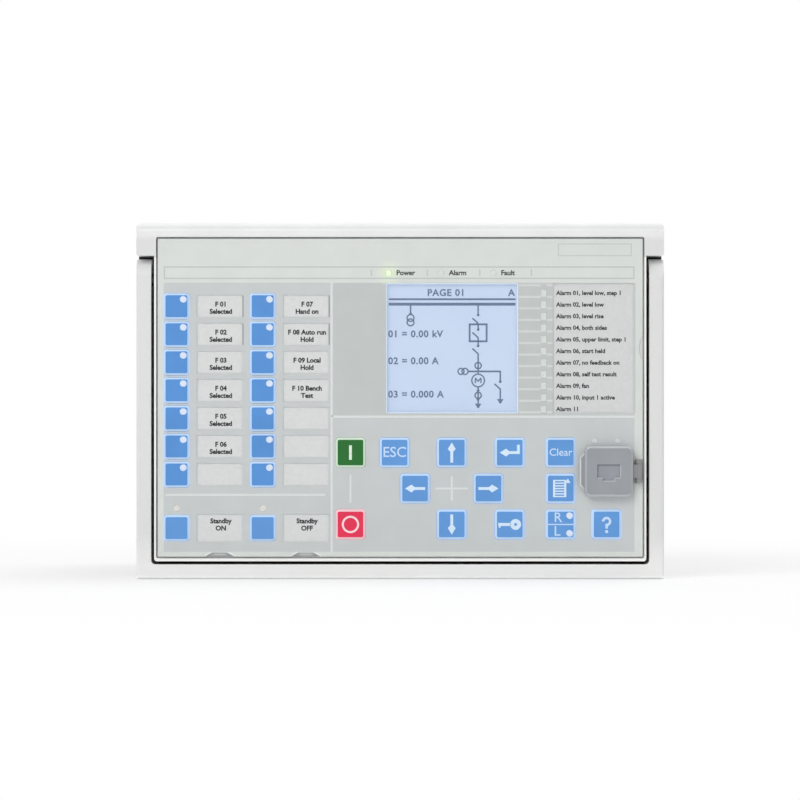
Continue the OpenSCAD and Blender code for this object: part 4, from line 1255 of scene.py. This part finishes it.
# One sprung wire at the mouth of a socket whose middle is the origin; inward is 1 towards +Y
def contactWire(inward):
    clearSelection()
    start = contact["start"] * mm
    bpy.ops.mesh.primitive_plane_add(size=1, location=(0, inward * start, contact["rise"] * mm))
    wire = bpy.context.object
    wire.scale = (contact["width"] * mm, contact["length"] * mm, 1)
    applyPlace(wire)
    pickEdges(wire, lambda a, b: a.y * inward > start and b.y * inward > start)
    for along, rise in bends:
        step = (0, inward * along * mm, rise * mm)
        bpy.ops.mesh.extrude_edges_move(TRANSFORM_OT_translate={"value": step})
    endEdit()
    bpy.ops.object.modifier_add(type="SOLIDIFY")
    wire.modifiers[-1].thickness = contact["thick"] * mm
    bpy.ops.object.modifier_apply(modifier=wire.modifiers[-1].name)
    return wire


def contactSet(name, body, x, z, mouthY, inward):
    first = contactWire(inward)
    wires = [first] + [copyOf(first) for i in range(contact["count"] - 1)]
    for i, wire in enumerate(wires):
        across = x + (i - (contact["count"] - 1) / 2) * contact["pitch"]
        wire.location = (across * mm, mouthY, z * mm)
        applyPlace(wire)
    finishPiece(joinAll(wires), name, body, "contactGold")


port = centreOf("service_port") / mm
contactSet("service_port_contacts", unitBody, port.x, port.z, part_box("service_port")[0].y, 1)
lanLow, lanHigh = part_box("lan_sockets")
lanX = (lanLow.x + lanHigh.x) / 2 / mm
lanInset = 7.4
lanTop, lanBottom = lanHigh.z / mm - lanInset, lanLow.z / mm + lanInset
lanRows = [lanTop - i * (lanTop - lanBottom) / 2 for i in range(3)]
for name, z in zip(("upper", "middle", "lower"), lanRows):
    contactSet(f"lan_contacts_{name}", "case", lanX, z, lanHigh.y, -1)
print("stage: contacts")

# Numbers beside the terminals, read from behind
numberLook = {"size": 2.6, "bold": 0.01, "depth": 0.03, "smooth": 2}
smallLook = {**numberLook, "size": 1.7}
signal = {"blocks": 3, "rows": 10, "width": 24, "pitch": 42, "spare": 10}
current = {"rows": 6, "width": 42, "spare": 2, "drop": 0.1, "side": 1}


def terminalNumbers():
    box = edgesOf("terminal_blocks")
    height = box["top"] - box["bottom"]
    firstX, currentX = box["left"] + signal["width"] / 2, box["right"] - current["width"] / 2
    signalPitch, currentPitch = ((height - kind["spare"]) / kind["rows"] for kind in (signal, current))
    parts = []
    for block in range(signal["blocks"]):
        for row in range(signal["rows"]):
            z = ((signal["rows"] - 1) / 2 - row) * signalPitch
            number = str(row + 1 + signal["rows"] * block)
            parts.append(addWord(number, firstX + block * signal["pitch"], z, blockY, numberLook, True))
    for row in range(current["rows"]):
        z = (current["rows"] / 2 - row) * currentPitch - current["drop"]
        for side, number in ((current["side"], 2 * row + 1), (-current["side"], 2 * row + 2)):
            parts.append(addWord(str(number), currentX + side, z, blockY, smallLook, True))
    finishPiece(joinAll(parts), "terminal_numbers", "case", "legendWhite")


terminalNumbers()

# Earth sign beside the stud: three bars under a stem
stud = centreOf("earth_stud") / mm
earthBars = ((2.2, 0.6, 3.0), (0.4, 6.0, 0.7), (-1.0, 3.8, 0.7), (-2.4, 1.6, 0.7))
earth = {"rise": 13.0, "depth": 0.03}


def earthSign():
    bars = [(stud.x, stud.z + earth["rise"] + rise, w, h) for rise, w, h in earthBars]
    sign = thicken(addBars(bars, rearY), earth["depth"], 1)
    finishPiece(sign, "earth_sign", "case", "printBlack")


earthSign()

# Thread on the free end of the stud: a ridge wound up by the screw modifier
thread = {"radius": 2.6, "ridge": 0.5, "pitch": 1.0, "turns": 6, "steps": 28}


def studThread():
    clearSelection()
    size = thread["ridge"] * mm
    bpy.ops.mesh.primitive_circle_add(
        vertices=3, radius=size, location=(thread["radius"] * mm, 0, size), rotation=(quarter, 0, 0)
    )
    ridge = applyPlace(bpy.context.object)
    bpy.ops.object.modifier_add(type="SCREW")
    screw = ridge.modifiers[-1]
    screw.axis = "Z"
    screw.screw_offset = thread["pitch"] * mm
    screw.iterations = thread["turns"]
    screw.steps = screw.render_steps = thread["steps"]
    bpy.ops.object.modifier_apply(modifier=screw.name)
    editAll(ridge)
    bpy.ops.mesh.remove_doubles(threshold=1e-7)
    bpy.ops.mesh.edge_face_add()
    endShell()
    ridge.rotation_euler = (-quarter, 0, 0)
    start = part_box("earth_stud")[1].y - (thread["turns"] + 1) * thread["pitch"] * mm
    ridge.location = (stud.x * mm, start, stud.z * mm)
    finishPiece(ridge, "stud_thread", "case", "brassStud")


studThread()

# Lamps in the upper corners of each network socket
socketLamp = {"across": 5.4, "rise": 5.6, "w": 2.2, "h": 1.3, "proud": 0.12, "taper": (0.86, 1, 0.8)}


def socketLamps(side, finish, name):
    x = lanX + side * socketLamp["across"]
    parts = []
    for row in lanRows:
        z = row + socketLamp["rise"]
        flat = addFlat(x, z, socketLamp["w"], socketLamp["h"], lanHigh.y)
        editAll(flat)
        bpy.ops.mesh.extrude_region_move(TRANSFORM_OT_translate={"value": (0, socketLamp["proud"] * mm, 0)})
        bpy.ops.transform.resize(value=socketLamp["taper"], center_override=(x * mm, lanHigh.y, z * mm))
        endShell()
        parts.append(flat)
    finishPiece(joinAll(parts), name, "case", finish)


socketLamps(-1, "lampGreen", "socket_lamps_left")
socketLamps(1, "lampAmber", "socket_lamps_right")

# Slotted pan-head screws that hold the top cover down
coverScrew = {
    "radius": 2.9, "height": 1.5, "edge": 0.6, "rim": 0.25, "slot": 0.8, "slotShare": 0.24, "sides": 32,
    "fromSide": 9.0, "fromEnd": 14.0, "turns": (0.3, 1.9),
}


def coverScrews():
    clearSelection()
    height = coverScrew["height"] * mm
    bpy.ops.mesh.primitive_cylinder_add(
        vertices=coverScrew["sides"], radius=coverScrew["radius"] * mm, depth=height,
        location=(0, 0, height / 2),
    )
    head = applyPlace(bpy.context.object)
    nearTop = 0.9 * height
    pickEdges(head, lambda a, b: a.z > nearTop and b.z > nearTop)
    bpy.ops.mesh.bevel(offset=coverScrew["edge"] * mm, segments=4)
    endEdit()
    pickFaces(head, lambda face: face.normal.z > 0.99 and face.center.z > nearTop)
    bpy.ops.mesh.inset(thickness=coverScrew["rim"] * mm)
    bpy.ops.transform.resize(value=(1, coverScrew["slotShare"], 1), center_override=(0, 0, height))
    bpy.ops.mesh.extrude_region_move(TRANSFORM_OT_translate={"value": (0, 0, -coverScrew["slot"] * mm)})
    endEdit()
    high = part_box("case_cover")[1]
    ends = (coverScrew["fromEnd"] * mm, high.y - coverScrew["fromEnd"] * mm)
    heads = []
    for side in (-1, 1):
        for y, turn in zip(ends, coverScrew["turns"]):
            twin = copyOf(head)
            twin.rotation_euler = (0, 0, turn * side)
            twin.location = (side * (high.x - coverScrew["fromSide"] * mm), y, high.z)
            heads.append(applyPlace(twin))
    selectOnly(head)
    bpy.ops.object.delete()
    finishPiece(joinAll(heads), "cover_screws", "case", "platedSteel")


coverScrews()
print("stage: rear details")

# Studio: pale floor, soft light and a white surround
studio = {
    "floorZ": cadLow.z - 0.0002, "floorSize": 12.0, "floorColour": (246, 246, 246),
    "fade": (0.45, 1.0), "fadeReach": (0.2, 0.6), "worldStrength": 0.6,
}
softLamps = {
    "keyLamp": {"power": 35.0, "size": 1.6, "place": (-1.3, -2.2, 1.9)},
    "topLamp": {"power": 12.0, "size": 1.2, "place": (0.6, 0.3, 1.8)},
}


# The surround is white where it is seen, and weaker as a light
def makeWorld():
    world = bpy.data.worlds.new("studio")
    bpy.context.scene.world = world
    surround = Finish(world, "Background")
    strength = surround.spread(surround.seen(), studio["worldStrength"], 1, 0, 1)
    surround.set(Color=(255, 255, 255), Strength=strength)


# Near the object the floor is matt and keeps the shadow; further off it fades into the white surround
def makeFloor():
    clearSelection()
    bpy.ops.mesh.primitive_plane_add(size=studio["floorSize"], location=(0, 0, studio["floorZ"]))
    floor = applyPlace(bpy.context.object)
    floor.name = "floor"
    finish = Finish(bpy.data.materials.new("floorPaint"))
    finish.set(Base_Color=studio["floorColour"], Roughness=0.9, Specular_IOR_Level=0.1)
    reach = finish.add("ShaderNodeVectorMath", {0: finish.place}, operation="LENGTH").outputs["Value"]
    far = finish.spread(reach, *studio["fade"], *studio["fadeReach"])
    share = finish.math("MULTIPLY", far, finish.seen())
    glow = finish.add("ShaderNodeEmission").outputs[0]
    mixed = finish.add("ShaderNodeMixShader", {0: share, 1: finish.shader.outputs[0], 2: glow}).outputs[0]
    finish.feed(finish.tree.nodes["Material Output"].inputs["Surface"], mixed)
    floor.data.materials.append(finish.owner)


# Area lamps that point at the origin
def makeLamps():
    for name, look in softLamps.items():
        bpy.ops.object.light_add(type="AREA", location=look["place"])
        lamp = bpy.context.object
        lamp.name = name
        lamp.data.energy = look["power"]
        lamp.data.size = look["size"]
        lamp.rotation_euler = (-Vector(look["place"])).to_track_quat("-Z", "Y").to_euler()


def makeCamera():
    view = {"frameWidth": 0.3973, "distance": 2.0, "x": -0.0001, "z": 0.0004, "sensor": 36.0}
    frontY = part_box("front_frame")[0].y
    place = (view["x"], frontY - view["distance"], view["z"])
    bpy.ops.object.camera_add(location=place, rotation=(quarter, 0, 0))
    camera = bpy.context.object
    camera.data.sensor_width = view["sensor"]
    camera.data.lens = view["sensor"] * view["distance"] / view["frameWidth"]
    bpy.context.scene.camera = camera


makeWorld()
makeFloor()
makeLamps()
makeCamera()
bpy.context.scene.view_settings.view_transform = "Standard"
print("stage: studio")
